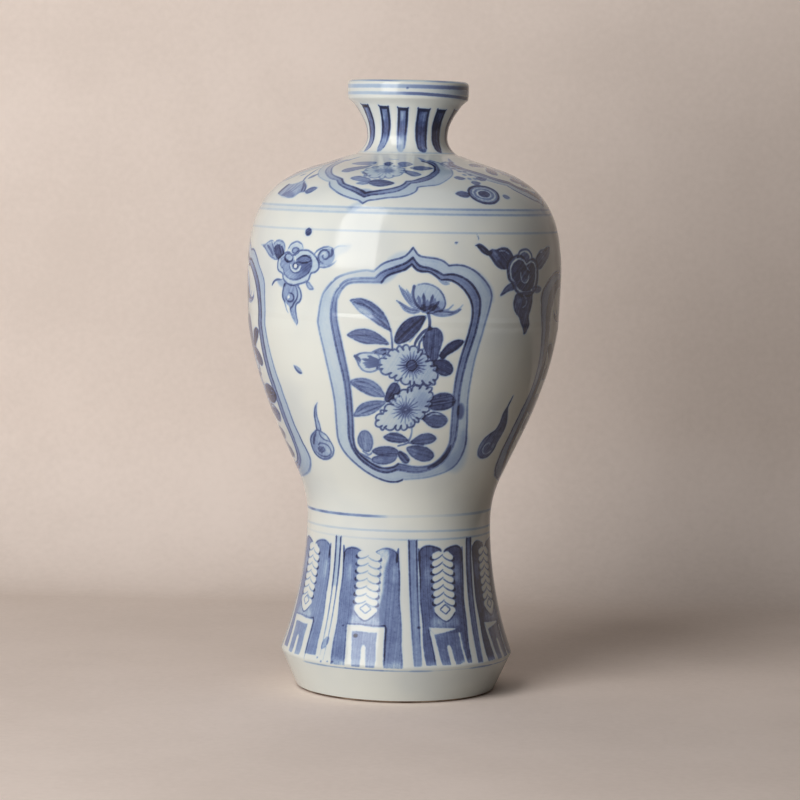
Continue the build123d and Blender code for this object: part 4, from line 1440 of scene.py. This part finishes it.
def shoulder_panel(work, azimuth, strength):
    """A lobed panel on the shoulder, point down and open at the neck, with a flower and leaves."""
    panel = Canvas(work, azimuth, 62.0, 216.0, 270.0, up="reach")
    panel.strength = strength
    lines = [[fan(run) for run in runs] for runs in (SHOULDER_OUTER, SHOULDER_MIDDLE, SHOULDER_INNER)]
    outer, middle, inner = (cusped(runs) for runs in lines)
    panel.band(outer, middle, SHOULDER_OUTER_WASH)
    panel.band(middle, inner, SHOULDER_INNER_WASH)
    for runs, width, tones in zip(lines, (0.75, 0.8, 0.9), SHOULDER_TONES):
        for run, tone in zip(runs, tones):
            if tone:
                panel.stroke(run, width, tone, (1, 1))
    panel.pool(fan([(0, 226.5), (-4, 225.4), (-6, 222.6), (-3, 221.6), (-1, 224)]), 0.3, 0.9)
    panel.pool(fan([(-2.5, 233), (0, 230.6), (2.5, 232.4), (0.5, 233.6)]), 0.8, 0.8)
    for tone, outline in SHOULDER_LEAVES:
        panel.leaf(fan(outline), tone, 0.5)
    heart = fan([(5, 248.8)])[0]
    panel.blossom(fan(SHOULDER_FLOWER), 13, 0.38, heart, 0.0, (3.0, 5.0, 16, 0.6), 0.9)
    panel.pool(oval(heart, 4.2, 2.3), 0.75, 1.2)
    panel.stroke(fan([(-8, 247.3), (-6, 246.4), (-4, 245), (-3, 243.6)]), 0.8, (1.0, 2.0, 1.4))
    panel.stroke(fan([(2, 265.2), (6, 264.6), (10, 265)]), 0.7, 1.2)


# Beside the roundel: leaves as base, tip, width and tone, and the heights of the dashes over it
ROUNDEL_LEAVES = [
    ((-7.4, 231.6), (-14, 231.8), 3.6, 1.9),
    ((10, 230.9), (14, 230), 2.2, 1.2),
    ((-8.8, 243.4), (-3.8, 242.8), 2.8, 1.4),
    ((2, 242.8), (8, 243), 3.6, 1.5),
    ((-2.6, 239.4), (2, 239.4), 3.0, 1.5),
]
DASH_RISES = (242.4, 246.0, 249.6, 253.2, 256.8)


def shoulder_roundel(work, azimuth):
    """A ringed disc with leaves and rising dashes, between two shoulder panels."""
    patch = Canvas(work, azimuth, 24.0, 220.0, 266.0, up="reach")
    patch.fill(oval((0, 232), 8.0, 5.6), 1.4)
    patch.ring(oval((0, 232), 7.6, 5.2), 1.0, 1.3)
    patch.scrape(oval((0, 232), 5.6, 3.8), 0.7, closed=True)
    patch.reserve(oval((-0.2, 232), 3.9, 2.6))
    patch.fill(oval((0, 232), 3.0, 1.9), 2.2)
    for base, tip, width, tone in ROUNDEL_LEAVES:
        patch.leaf(blade(base, tip, width), tone, 0.4)
    for rise in DASH_RISES:
        drift = (rise - DASH_RISES[0]) * -0.12
        for side in (-1.7, 1.1):
            patch.pool(blade((side + drift - 1.1, rise), (side + drift + 1.1, rise + 0.5), 2.0), 1.1, 0.5)


def shoulder_rock(work, azimuth):
    """A rock with a stem and leaves beside it, between two shoulder panels."""
    patch = Canvas(work, azimuth, 24.0, 220.0, 266.0, up="reach")
    rock = [
        (-14, 229.6), (-12.5, 232.5), (-11.3, 235.2), (-8, 235.2), (-4.5, 236.2), (-0.9, 238.2),
        (2.5, 236.2), (5.5, 233.5), (6.9, 230.9), (4.5, 230.2), (3.2, 228.4), (1.8, 227.4), (-2, 227.2),
        (-5.5, 228), (-9.3, 228.2),
    ]
    patch.fill(rock, [(-14, 1.2), (-9, 0.8), (0, 0.75), (6, 1.2)], 35.0)
    patch.stroke([(-13.4, 229.8), (-12, 232.4), (-10.4, 235)], 2.2, 1.1)
    patch.pool([(-8.5, 228.2), (-7, 230.4), (-3.5, 230.8), (1, 229.6), (1.8, 227.8), (-3, 227.4)], 0.7, 0.8)
    for shift in (0, 2):
        patch.stroke([
            (0.2 + shift, 237.2 - 0.6 * shift), (3.4 + shift, 233.8), (4.9 + shift, 230.8),
        ], 0.9, 1.1)
    for shift in (-6.0, -3.2, -0.8):
        patch.stroke([(shift - 1.6, 230.6), (shift, 232.8), (shift + 0.4, 235.4)], 0.7, 0.6)
    patch.stroke([(-1.4, 238.2), (-2.9, 241), (-3.4, 244.4), (-4.8, 250)], 1.3, (1.4, 1.2, 0.8))
    patch.leaf(blade((7.6, 230.8), (12.8, 233.4), 3.8), 1.5, 0.4)
    patch.leaf(blade((0.2, 239.8), (2.7, 243.8), 2.2), 1.2, 0.4)
    patch.pool(blade((-10.4, 241.8), (-6.8, 243.6), 1.8), 0.8, 0.6)


def neck_strip(work, azimuth, top, lean, sway, wide, tone, fade):
    """An upright petal on the neck, dark-edged, with horned corners and a streaked wash."""
    strip = Canvas(work, azimuth, 22.0, 237.6, 262.0)
    heights = np.array([top, 256.0, 253.0, 250.0, 247.0, 243.6, 240.4])
    half = wide * np.array([1.04, 1.02, 1.0, 1.0, 0.98, 0.94, 0.86])
    upper = np.clip((heights - 246.0) / 12.5, 0.0, 1.0)
    lower = np.clip((246.0 - heights) / 6.0, 0.0, 1.0)
    middle = lean * upper + sway * lower
    left, right = (list(zip(middle + side * half, heights)) for side in (-1, 1))
    strip.fill([*left, (sway - 0.5 * wide, 239.0), (sway + 0.4 * wide, 238.8), *right[::-1]], tone, 90.0)
    strip.pool([(-wide, 251.5), (wide, 251.5), (0.9 * wide, 246.0), (-0.9 * wide, 246.0)], 0.35, 1.5)
    strip.fade((sway - 0.6, 239.6), 9.0, fade)
    strip.stroke(left, 0.9, (2.7, 2.7, 2.4 * fade, 1.2 * fade), (1, 0.5))
    strip.stroke(right, 0.95, (2.8, 2.7, 2.5 * fade, 1.9 * fade), (1, 0.6))
    (x0, _), (x1, _) = left[0], right[0]
    strip.stroke([
        (x0 - 0.5, top + 0.7), (x0 + 0.4, top), (x1 - 0.4, top - 0.1), (x1 + 0.4, top + 0.4),
    ], 1.2, 2.8, (0.5, 0.5))
    strip.pool([
        (middle[1] - 0.6, top - 1.4), (middle[1] + 0.7, top - 1.4), (0.6, 252.6), (-0.5, 252.6),
    ], -0.5, 0.6)


def lappet(
    work, azimuth, left, right, tones, lift, thread, slope, meet, gate, foot, pale=False, tapered=False
):
    """A lappet on the foot: two inward curls, a bare plait and a bare frame with a slot."""
    field = Canvas(work, azimuth, 34.0, 12.0, 75.0)
    heights = np.array([65.0, 55.0, 45.0, 35.0, 25.0, foot])
    radius = np.interp(heights, OUTLINE[:, 1], OUTLINE[:, 0])
    edges = []
    for top, bottom in (left, right):
        turn = np.interp(heights, (foot, 65.0), (bottom, top)) + (0.0, 0.4, -0.2, 0.3, -0.3, 0.2)
        edges.append(list(zip(radius * np.radians(turn), heights)))
    rise = [
        (1, 65.2), (0.88, 66.9), (0.68, 67.9), (0.45, 67.7), (meet + 0.08, 66.6), (meet, 65.4), (0.3, 64.6),
    ]
    corners = [edge[0][0] for edge in edges]
    curls = [
        [(corner * share, height + raised) for share, height in rise]
        for corner, raised in zip(corners, lift)
    ]
    dip = [(-2.6, 62.6), (0, 60), (2.6, 62.6)]
    blue = edges[0][::-1] + curls[0] + dip + curls[1][::-1] + edges[1]
    wash = [(corners[0], tones[0]), (-5.0, tones[0] * 0.95), (5.0, tones[1] * 0.95), (corners[1], tones[1])]
    field.fill(blue, wash, 90.0, sharp=True)
    for side, edge, corner, curl, tone in zip((-1, 1), edges, corners, curls, tones):
        field.stroke(edge, 0.6, (1.4 * tone, 0.5 * tone, 0.2 * tone), (1, 0.8))
        field.stroke(curl, 0.75, (tone, 0.8 * tone, 1.2 * tone), (0.8, 0.6))
        horn = [(corner, 67.2), (corner - 0.2 * side, 64.8), (corner - 0.5 * side, 61.0)]
        field.stroke(horn, 1.0, 1.8, (0.6, 0.2))
        field.pool([(x * 0.97, z - 0.4) for x, z in curl[:6]] + [(curl[0][0] * 0.7, 63.0)], 0.15 * tone, 1.2)
        base = edge[-1][0]
        hem = [(base * 0.55, foot - 1.0), (base * 1.1, foot - 1.0), (base * 1.08, 18.6), (base * 0.55, 18.6)]
        field.pool(hem, -0.5 * tone, 1.6)
        field.pool(oval((base * 0.62, 56.0), 1.6, 3.6), -0.35 * tone, 1.4)
    field.pool([(-4.6, 38), (4.6, 38), (6.4, 34), (-6.4, 34)], -0.5 * min(tones), 1.8)
    if pale:
        field.pool([(2.2, 66.2), (7, 67), (9.2, 64.4), (7.6, 58), (7.2, 48), (5.6, 42), (5, 56)], -1.3, 1.0)
    plait(field, thread, slope)
    bare_frame(field, gate, max(tones), tapered)


def plait(field, thread, slope):
    """Plump scales left bare between thin lines, closed by a loop."""
    left, right = [], []
    tops = [65.4 - 3.25 * row for row in range(8)]
    for high in tops:
        left += [(-4.2, high), (-5.1, high - 0.7), (-5.2, high - 2.0), (-4.4, high - 2.8)]
        right += [(4.2, high - 0.8), (5.2, high - 1.5), (5.3, high - 2.8), (4.5, high - 3.6)]
    under = [(4.6, 39.2), (2.6, 37.3), (0.2, 36.1), (-2.4, 37.4), (-4.6, 39.4)]
    field.reserve([(-2, 66.2), (0.2, 65.4), (2.2, 66), *right[:-1], *under, *left[-2::-1]])
    scale = [(5.2, 0.1), (3.6, -0.3 + 0.3 * slope), (1.6, 0.1 + 0.8 * slope), (0.1, 0.9 + 1.1 * slope)]
    for row, high in enumerate(tops[:-1]):
        for side, drop in ((-1, 2.9), (1, 3.7)):
            low = high - drop
            field.stroke([(side * x, low + z) for x, z in scale], 0.58, thread, (1, 0.7))
            notch = [(side * 5.5, low + 1.3), (side * 5.7, low + 0.3), (side * 4.8, low - 0.2)]
            field.stroke(notch, 0.8, 1.1 + 0.7 * thread - 0.4 * (row % 3 == 1), (0.4, 0.3))
    knot = [
        (0.1, 42.8), (1.3, 42), (2.5, 40.9), (1.4, 39.8), (0.2, 39), (-1.1, 39.8), (-2.3, 40.9), (-1.1, 42),
    ]
    field.ring(knot, 0.5, 1.3 * thread)
    field.stroke([(-5, 39.6), (-2.8, 37.2), (0.2, 35.7), (3, 37.1), (5, 39.4)], 0.5, 0.4 + 0.6 * thread)


# The bare gates: a lintel, two posts and a slot
TAPERED_GATE = [
    [(-8.4, 33.6), (-2, 33.2), (4.4, 32.7), (4.4, 32.2), (-2, 31), (-6.4, 30.4)],
    [(-8.4, 33.4), (-6.2, 30.8), (-5.2, 24), (-4, 15.6), (-6.8, 15.4), (-7.4, 24)],
    [(5.6, 31), (6.6, 30.8), (7.4, 24), (8.9, 17), (7.4, 17), (6.4, 24)],
    [(-1, 25.2), (-0.4, 25.9), (0.6, 25.8), (1.2, 24.8), (2, 20), (2.9, 16), (0.4, 16), (-0.4, 20)],
]
SQUARE_GATE = [
    [(-7.9, 33.7), (-2, 33.9), (4, 33.4), (9.5, 33.5), (9.2, 31.2), (3, 30.9), (-3, 31.2), (-7.2, 30.7)],
    [(-7.9, 33.2), (-5.2, 31.6), (-4.5, 25), (-3.8, 18), (-3.5, 15), (-6.7, 15), (-7.3, 23)],
    [(9.5, 33.2), (6.3, 31.6), (6.2, 26), (7, 20), (6.9, 15), (11, 15), (10, 24)],
    [(-0.1, 24.4), (0.4, 25.5), (1.2, 25.8), (2, 24.6), (2.5, 20), (3.1, 15), (0.5, 15), (0.2, 20)],
]


def bare_frame(field, wash, edge, tapered):
    """The bare gate below the plait, with a slot up its middle."""
    field.fill([(-6.4, 31), (7.6, 31), (8.4, 17.6), (-6.8, 17.6)], wash, 90.0, sharp=True)
    bars = TAPERED_GATE if tapered else SQUARE_GATE
    if not tapered:
        field.stroke([(7.8, 34.1), (9.9, 33.4), (10.4, 25), (11.4, 16.6)], 0.6, (1.4 * edge, edge, edge))
        field.stroke([(-8, 33.9), (0, 34.2), (9.4, 33.8)], 0.5, 0.5 * edge)
    for bar in bars:
        field.reserve(bar, sharp=True)
    field.pool([(-7, 18.4), (8.6, 18.4), (8.8, 14), (-7.4, 14)], -0.35 * wash, 1.4)
    post = bars[1]
    shade = [(post[0][0] - 0.3, 33.0), (post[-1][0] - 0.3, 24.0), (post[-2][0] - 0.3, 16.6)]
    field.stroke(shade, 0.55, 0.4 * edge)


def divider(work, top, bottom, half, tone, edge, patchy=0.0, foot=17.4):
    """A banded bar between two lappets, that leans from one azimuth to another."""
    bar = Canvas(work, (top + bottom) / 2, 12.0, 12.0, 75.0)
    heights = np.array([71.0, 60.0, 48.0, 36.0, 26.0, foot])
    radius = np.interp(heights, OUTLINE[:, 1], OUTLINE[:, 0])
    middle = radius * np.radians(np.interp(heights, (foot, 71.0), (bottom, top)) - (top + bottom) / 2)
    sides = [list(zip(middle + side, heights)) for side in (-half, half)]
    bar.fill(sides[0] + sides[1][::-1], tone, 90.0, sharp=True)
    for side in sides:
        bar.stroke(side, 0.75, (edge, 0.8 * edge, 0.5 * edge, 0.2 * edge), (1, 0.5))
    if patchy:
        lower = list(zip(middle, heights))[2:]
        left = [(x - (half + 0.6), z) for x, z in lower]
        right = [(x + (half + 0.6), z) for x, z in lower]
        bar.pool(left + right[::-1], -patchy, 1.0)


# Dark specks in the glaze: azimuth, height, half-width and tone
SPECKS = [
    (-21.9, 29.3, 1.0, 3.0),
    (-1.0, 266.3, 0.5, 1.6),
    (18.4, 201.0, 0.6, 2.0),
    (-42.1, 18.3, 0.6, 1.6),
    (-39.4, 16.9, 0.6, 1.8),
    (-35.4, 17.3, 0.6, 1.6),
    (-32.5, 17.5, 0.6, 1.6),
    (12.0, 33.6, 0.8, 1.6),
    (82.0, 262.6, 0.9, 2.4),
    (-30.0, 33.0, 0.5, 1.2),
]


# Turned lines above the lappets: layer, height, width, tones by azimuth and drops by azimuth
LIP_SAG = [(-100, 0), (10, 0.1), (40, 0.7), (75, 1.5), (110, 1), (160, 0)]
WAIST_SAG = [(-90, 0.9), (-40, 0.7), (-10, 0.5), (20, 0), (120, 0.3)]
COLLAR_SAG = [(-80, 0.7), (-10, 0.1), (20, 0.1), (60, 0.6)]
WAIST_TONES = [
    (-110, 0.5), (-78, 0.7), (-68, 1.4), (-62, 0.7), (-55, 1.4), (-47, 0.9), (-38, 1.4), (-30, 0.9),
    (-21, 1.4), (-14, 0.9), (-6, 0.15), (25, 0.15), (55, 0.5), (100, 0.5), (170, 0.9),
]
HOOPS = [
    ("line", 269.5, 1.0, [
        (-95, 0.3), (-50, 0.5), (-20, 1.1), (-6, 0.4), (14, 0.3), (34, 1.1), (50, 0.5), (130, 0.7),
    ]),
    ("line", 267.1, 1.6, [
        (-100, 0.4), (-50, 0.6), (-12, 0.6), (4, 1), (35, 1.3), (62, 1.8), (95, 1.8), (150, 0.8),
    ]),
    (
        "line", 264.1, 1.3,
        [(-100, 0.4), (-40, 0.5), (-12, 0.7), (2, 1.6), (40, 1.9), (80, 2.5), (170, 0.9)], LIP_SAG,
    ),
    # A wash between the lip's lines that darkens to the right: partly cobalt, partly painted shade where the
    # lip turns from the lamps
    ("wash", 265.8, 3.2, [(-60, 0), (20, 0.1), (45, 0.3), (65, 0.7), (95, 0.8), (130, 0.3), (170, 0)]),
    ("line", 238.5, 0.8, [(-90, 0.2), (0, 0.35), (60, 0.45), (180, 0.3)]),
    ("line", 214.9, 1.0, [(-120, 0.3), (-50, 0.35), (0, 0.5), (40, 0.9), (120, 0.5)]),
    ("line", 212.7, 1.0, [(-120, 0.25), (-50, 0.25), (0, 0.45), (40, 0.75), (120, 0.45)]),
    ("wash", 213.8, 2.2, [(-120, 0.10), (40, 0.20), (150, 0.15)]),
    ("line", 205.1, 0.9, [(-120, 0.25), (-30, 0.25), (30, 0.45), (70, 0.6), (180, 0.35)]),
    ("line", 81.6, 1.1, WAIST_TONES, WAIST_SAG),
    ("line", 75.0, 0.9, [(-110, 0.2), (0, 0.35), (60, 0.5), (180, 0.3)], COLLAR_SAG),
    ("line", 71.2, 0.8, [(-110, 0.12), (-24, 0.15), (10, 0.4), (60, 0.6), (150, 0.3)]),
]
# The turned line over the foot's edge
FOOT_TONES = [
    (-60, 0.2), (-38, 0.9), (-25, 1.3), (-8, 1.3), (4, 0.9), (30, 0.7), (44, 0.9), (54, 1.6), (120, 0.6),
    (200, 0.9),
]
FOOT_HOOP = ("line", 15.3, 0.8, FOOT_TONES)
# Azimuths of the first body panel, cloud and shoulder panel, of four each
QUARTER = 90.0
BODY_PANEL = 2.0
CLOUD = 47.0
SHOULDER_PANEL = -17.0
# Round the turn: whether a body panel is mirrored, whether its border is patchy with a painted highlight,
# its warp and its strength
BODY_PANELS = [
    (False, True, None, 1.0),
    # The panel round to the right is painted twice as strong: painted shade where it turns away from the
    # lamps at the side
    (True, False, RIGHT_WARP, 2.0),
    (False, False, None, 1.0),
    (False, False, LEFT_WARP, 1.0),
]
SHOULDER_STRENGTHS = (1.0, 1.5, 1.0, 0.8)
ROUNDELS = (34.5, 214.5)
ROCKS = (124.5, -54)
# Petals on the neck: azimuth, top, lean, sway, half-width, tone and how much of its foot is kept
NECK_STRIPS = [
    (-62.0, 258.6, 3.0, 0.0, 2.0, 1.6, 0.75),
    (-33.0, 258.0, 2.2, -1.3, 1.8, 1.6, 0.6),
    (-8.4, 257.4, 1.2, 0.0, 1.8, 1.4, 0.45),
    (19.8, 257.2, -0.6, 0.0, 2.3, 2.0, 1.0),
    (44.8, 257.0, -1.3, -0.4, 2.1, 2.5, 1.0),
    (76.0, 257.0, -2.0, 0.0, 2.0, 2.3, 1.0),
]
BACK_TONES = ((1.9, 1), (1.4, 0.6))
NECK_STRIPS += [(101.0 + 24.6 * step, 258.0, 0.0, 0.0, 2.1, *BACK_TONES[step % 2]) for step in range(8)]
# Lappets: azimuth, left and right edge in degrees at top and bottom, tones, lift of the curls, thread,
# slope of the scales, where the curls meet, tone of the gate, foot height, pale right side, tapered gate
LAPPETS = [
    (-64.0, (-17.5, -15), (18, 20), (1.3, 1.12), (0, 0.4), 0.95, 0.5, 0.12, 1.1, 19.0),
    (-18.0, (-17.2, -15.8), (18, 21.6), (1.35, 1.4), (-1.2, -0.7), 0.85, 0.25, 0.2, 1.05, 16.4, True),
    (28.0, (-15.5, -13.2), (14.6, 12.4), (1.85, 2.2), (0.6, 0.1), 1.9, 1.0, 0.08, 1.6, 17.6, False, True),
    (66.0, (-14, -14), (21, 20), (2.7, 2.3), (0.9, 0.4), 2.2, 0.8, 0.1, 2.1, 17.2, False, True),
    (116.0, (-18, -17), (17, 18), (1.5, 1.5), (0, 0), 1.0, 0.6, 0.12, 0.9, 17.2),
    (162.0, (-18, -17), (17, 18), (1.3, 1.2), (0, -0.6), 0.8, 0.3, 0.2, 0.9, 17.2, True),
    (207.5, (-18, -17), (17, 18), (1.7, 1.6), (0.5, 0), 1.4, 0.9, 0.1, 1.5, 17.4, False, True),
    (252.5, (-18, -17), (17, 18), (1.3, 1.2), (0, 0.3), 0.8, 0.5, 0.15, 0.9, 17.2),
]
# Bars between the lappets: azimuth at top and bottom, half-width, tone, tone of the edges and wear
DIVIDERS = [
    (-39.7, -39.5, 1.3, 0.45, 2.2, 0.5),
    (8.7, 10.9, 1.7, 1.05, 1.9),
    (48.6, 46.4, 1.5, 1.8, 2.2),
    (92.0, 92.0, 1.6, 1.0, 1.5),
    (139.0, 139.0, 1.5, 0.4, 1.4),
    (185.0, 185.0, 1.6, 1.0, 1.4),
    (230.0, 230.0, 1.5, 0.5, 1.4),
    (275.0, 275.0, 1.5, 0.6, 1.4),
]


def decorate(work):
    """All the painting, from the lip down to the foot."""
    for hoop in HOOPS:
        work.hoop(*hoop)
    for quarter, panel in enumerate(BODY_PANELS):
        turn = QUARTER * quarter
        body_panel(work, BODY_PANEL + turn, *panel)
        cloud(work, CLOUD + turn, quarter % 2 == 0)
        shoulder_panel(work, SHOULDER_PANEL + turn, SHOULDER_STRENGTHS[quarter])
    for azimuth in ROUNDELS:
        shoulder_roundel(work, azimuth)
    for azimuth in ROCKS:
        shoulder_rock(work, azimuth)
    for strip in NECK_STRIPS:
        neck_strip(work, *strip)
    for drawn in LAPPETS:
        lappet(work, *drawn)
    for bar in DIVIDERS:
        divider(work, *bar)
    work.hoop(*FOOT_HOOP)
    stray_marks(work)


def stray_marks(work):
    """A dot, a smudge and a tick that the brush left, specks in the glaze and a drop beside a bar."""
    dot = Canvas(work, -37.5, 6.0, 200.0, 210.0)
    dot.fill(oval((0.1, 203.9), 1.75, 1.65), 2.3)
    smudge = Canvas(work, -43.0, 6.0, 138.0, 150.0, True)
    smudge.fill(oval((-0.2, 144.5), 2.4, 1.3, -35.0), 0.85)
    smudge.stroke([(-2.4, 146.2), (-1.4, 144.6), (0.2, 143.4), (1.6, 143.2)], 1.1, (1.1, 0.9, 1.2))
    tick = Canvas(work, 27.0, 6.0, 196.0, 212.0, True)
    tick.stroke([(-0.4, 204.2), (0.1, 203.2), (0, 202.2)], 0.55, 1.3)
    for azimuth, height, size, tone in SPECKS:
        speck = Canvas(work, azimuth, 6.0, height - 3.0, height + 3.0, True)
        speck.pool(oval((0.0, height), size, 0.7 * size), tone, 0.3)
    drop = Canvas(work, -41.0, 8.0, 18.0, 30.0)
    drop.fill(oval((1.4, 24.8), 1.5, 3.0, -25.0), 1.2)


# The studio, in metres
FLOOR_REACH = 2.6
SWEEP_BACK = 0.24
SWEEP_BEND = 0.09
SWEEP_RISE = 1.6
SWEEP_LEFT = -1.3
SWEEP_RIGHT = 0.32
PAPER_DARK = (0.89, 0.765, 0.695)
PAPER_PALE = (0.975, 0.845, 0.775)
# The colour the paper gives back to the vase: pale at the left, and painted darker to the right of the vase
# as painted shade
PAPER_BOUNCE = (0.68, 0.62, 0.56)
PAPER_SHADED = (0.30, 0.25, 0.20)
PAPER_MOTTLE = 9.0
PAPER_GRAIN = 300.0
PAPER_FADE = (0.65, 1.1)
SHADE_EDGE = (-0.15, 0.20)
BEND_STEPS = 17
ROOM_COLOUR = (1.0, 0.85, 0.75)
ROOM_GLOW = 0.010
ROOM_LOOK = 0.50
# The lamps: name, energy, width, lower and upper edge, distance, azimuth, drop of the aim, colour,
# and whether the glaze mirrors it
LAMPS = [
    ("softbox", 9.0, 0.58, 0.20, 1.40, 0.95, -35.5, 0.2, (1.0, 0.99, 0.965), True),
    ("low_card", 3.2, 0.58, 0.0, 0.20, 0.95, -33.0, 0.0, (1.0, 0.99, 0.965), False),
    ("top_light", 1.6, 1.0, 1.3, 2.3, 0.6, 60.0, 1.6, (0.85, 0.93, 1.0), True),
]
# The camera: sensor and lens in millimetres, place and near limit in metres, tilt down and roll in degrees
CAMERA_SENSOR = 36.0
CAMERA_LENS = 131.67
CAMERA_PLACE = (-0.000693, -1.3, 0.236955)
CAMERA_NEAR = 0.05
CAMERA_TILT = 4.767
CAMERA_ROLL = 1.274


def studio_lamps():
    """A tall softbox at the front left, an unmirrored card low under it, and a dim top light."""
    for name, energy, width, low, high, distance, azimuth, drop, colour, mirrored in LAMPS:
        lamp = bpy.data.lights.new(name, "AREA")
        lamp.shape = "RECTANGLE"
        lamp.size = width
        lamp.size_y = high - low
        lamp.energy = energy
        lamp.color = colour
        side = Vector((sin(radians(azimuth)), -cos(radians(azimuth)), 0.0))
        middle = Vector((0.0, 0.0, (low + high) / 2))
        shone = aim(lamp, side * distance + middle, middle - Vector((0.0, 0.0, drop)))
        shone.visible_glossy = mirrored


def aim(lamp, place, target):
    """Puts a lamp at a place, facing a target, with its long side upright."""
    shone = bpy.data.objects.new(lamp.name, lamp)
    bpy.context.scene.collection.objects.link(shone)
    turn = (target - place).to_track_quat("-Z", "Y")
    shone.matrix_world = Matrix.Translation(place) @ turn.to_matrix().to_4x4()
    return shone


def light_seen(tree):
    """1 for what is looked at, mirrored or seen through glass, 0 for what only lights the vase."""
    kinds = ("Is Camera Ray", "Is Glossy Ray", "Is Transmission Ray")
    seen, mirrored, through = (tree.node("ShaderNodeLightPath", out=kind) for kind in kinds)
    return seen.most(mirrored).most(through)


def room_light():
    """A dim room, pale where it is looked at or mirrored."""
    world = bpy.data.worlds.new("room")
    bpy.context.scene.world = world
    world.use_nodes = True
    world.node_tree.nodes.clear()
    room = Tree(world.node_tree)
    strength = ROOM_GLOW + light_seen(room) * (ROOM_LOOK - ROOM_GLOW)
    glow = room.node("ShaderNodeBackground", None, {"Color": (*ROOM_COLOUR, 1.0), "Strength": strength})
    room.node("ShaderNodeOutputWorld", None, {"Surface": glow})


def studio_sweep():
    """A pale sheet under the vase that curves up behind it, see-through from its back."""
    floor = [(-FLOOR_REACH, -FLOOR_REACH, 0.0), (FLOOR_REACH, -FLOOR_REACH, 0.0)]
    floor += [(FLOOR_REACH, SWEEP_BACK, 0.0), (-FLOOR_REACH, SWEEP_BACK, 0.0)]
    bend = np.linspace(0, pi / 2, BEND_STEPS)
    section = [(SWEEP_BACK + SWEEP_BEND * sin(a), SWEEP_BEND * (1 - cos(a))) for a in bend]
    section.append((SWEEP_BACK + SWEEP_BEND, SWEEP_RISE))
    corners = floor + [(x, y, z) for y, z in section for x in (SWEEP_LEFT, SWEEP_RIGHT)]
    faces = [(0, 1, 2, 3)]
    faces += [(4 + 2 * i, 5 + 2 * i, 7 + 2 * i, 6 + 2 * i) for i in range(len(section) - 1)]
    mesh = bpy.data.meshes.new("studio_sweep")
    mesh.from_pydata(corners, [], faces)
    for polygon in mesh.polygons:
        polygon.use_smooth = True
    sheet = bpy.data.objects.new("studio_sweep", mesh)
    bpy.context.scene.collection.objects.link(sheet)
    mesh.materials.append(sweep_paper())


def sweep_paper():
    """Pale mottled paper, that melts into the room far from the vase."""
    finish = Finish("sweep_paper")
    place = finish.place()
    mottle = finish.noise(place, PAPER_MOTTLE, 5.0, 0.6) * 0.7 + finish.noise(place, PAPER_GRAIN, 2.0) * 0.3
    looked_at = light_seen(finish)
    paper = finish.mix(mottle.step(0.3, 0.7), PAPER_DARK, PAPER_PALE)
    across = finish.node("ShaderNodeSeparateXYZ", None, [place], out="X")
    # Painted shade: the paper gives back less light to the right of the vase
    bounce = finish.mix(across.step(*SHADE_EDGE), PAPER_BOUNCE, PAPER_SHADED)
    colour = finish.mix(looked_at, bounce, paper)
    front = finish.node("ShaderNodeBsdfPrincipled", None, {"Base Color": colour, "Roughness": 0.85})
    back = finish.node("ShaderNodeBsdfTransparent")
    behind = finish.node("ShaderNodeNewGeometry", out="Backfacing")
    reach = finish.node("ShaderNodeVectorMath", {"operation": "LENGTH"}, [place], out="Value")
    open_share = behind.most(reach.step(*PAPER_FADE) * looked_at)
    sheet = finish.node("ShaderNodeMixShader", None, [open_share, front, back])
    finish.node("ShaderNodeOutputMaterial", None, {"Surface": sheet})
    return finish.material


def photo_camera():
    """The photograph's view: slightly from above, turned a little on its axis."""
    camera = bpy.data.cameras.new("camera")
    camera.sensor_width = CAMERA_SENSOR
    camera.lens = CAMERA_LENS
    camera.clip_start = CAMERA_NEAR
    seen = bpy.data.objects.new("camera", camera)
    bpy.context.scene.collection.objects.link(seen)
    tilt = Matrix.Rotation(radians(90.0 - CAMERA_TILT), 4, "X")
    roll = Matrix.Rotation(radians(CAMERA_ROLL), 4, "Z")
    seen.matrix_world = Matrix.Translation(CAMERA_PLACE) @ tilt @ roll
    bpy.context.scene.camera = seen


def main():
    """Dresses the vase and sets up the studio."""
    bpy.context.scene.view_settings.view_transform = "Standard"
    glaze = painted_glaze()
    group = coat_tree()
    coats = [thrown_coat(zone, group, glaze) for zone in ZONES]
    paint(coats)
    for piece, reach in coats:
        bake_map(piece, reach)
        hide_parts("outer_glaze")
        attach(piece, "root")
    finishes = {"glaze": plain_glaze("plain_duck_egg_glaze"), "paste": bare_paste("bare_porcelain")}
    for name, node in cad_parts.items():
        finish = finishes["glaze" if name.endswith("_glaze") else "paste"]
        for slot in node.material_slots:
            slot.material = finish
    studio_sweep()
    studio_lamps()
    room_light()
    photo_camera()


main()
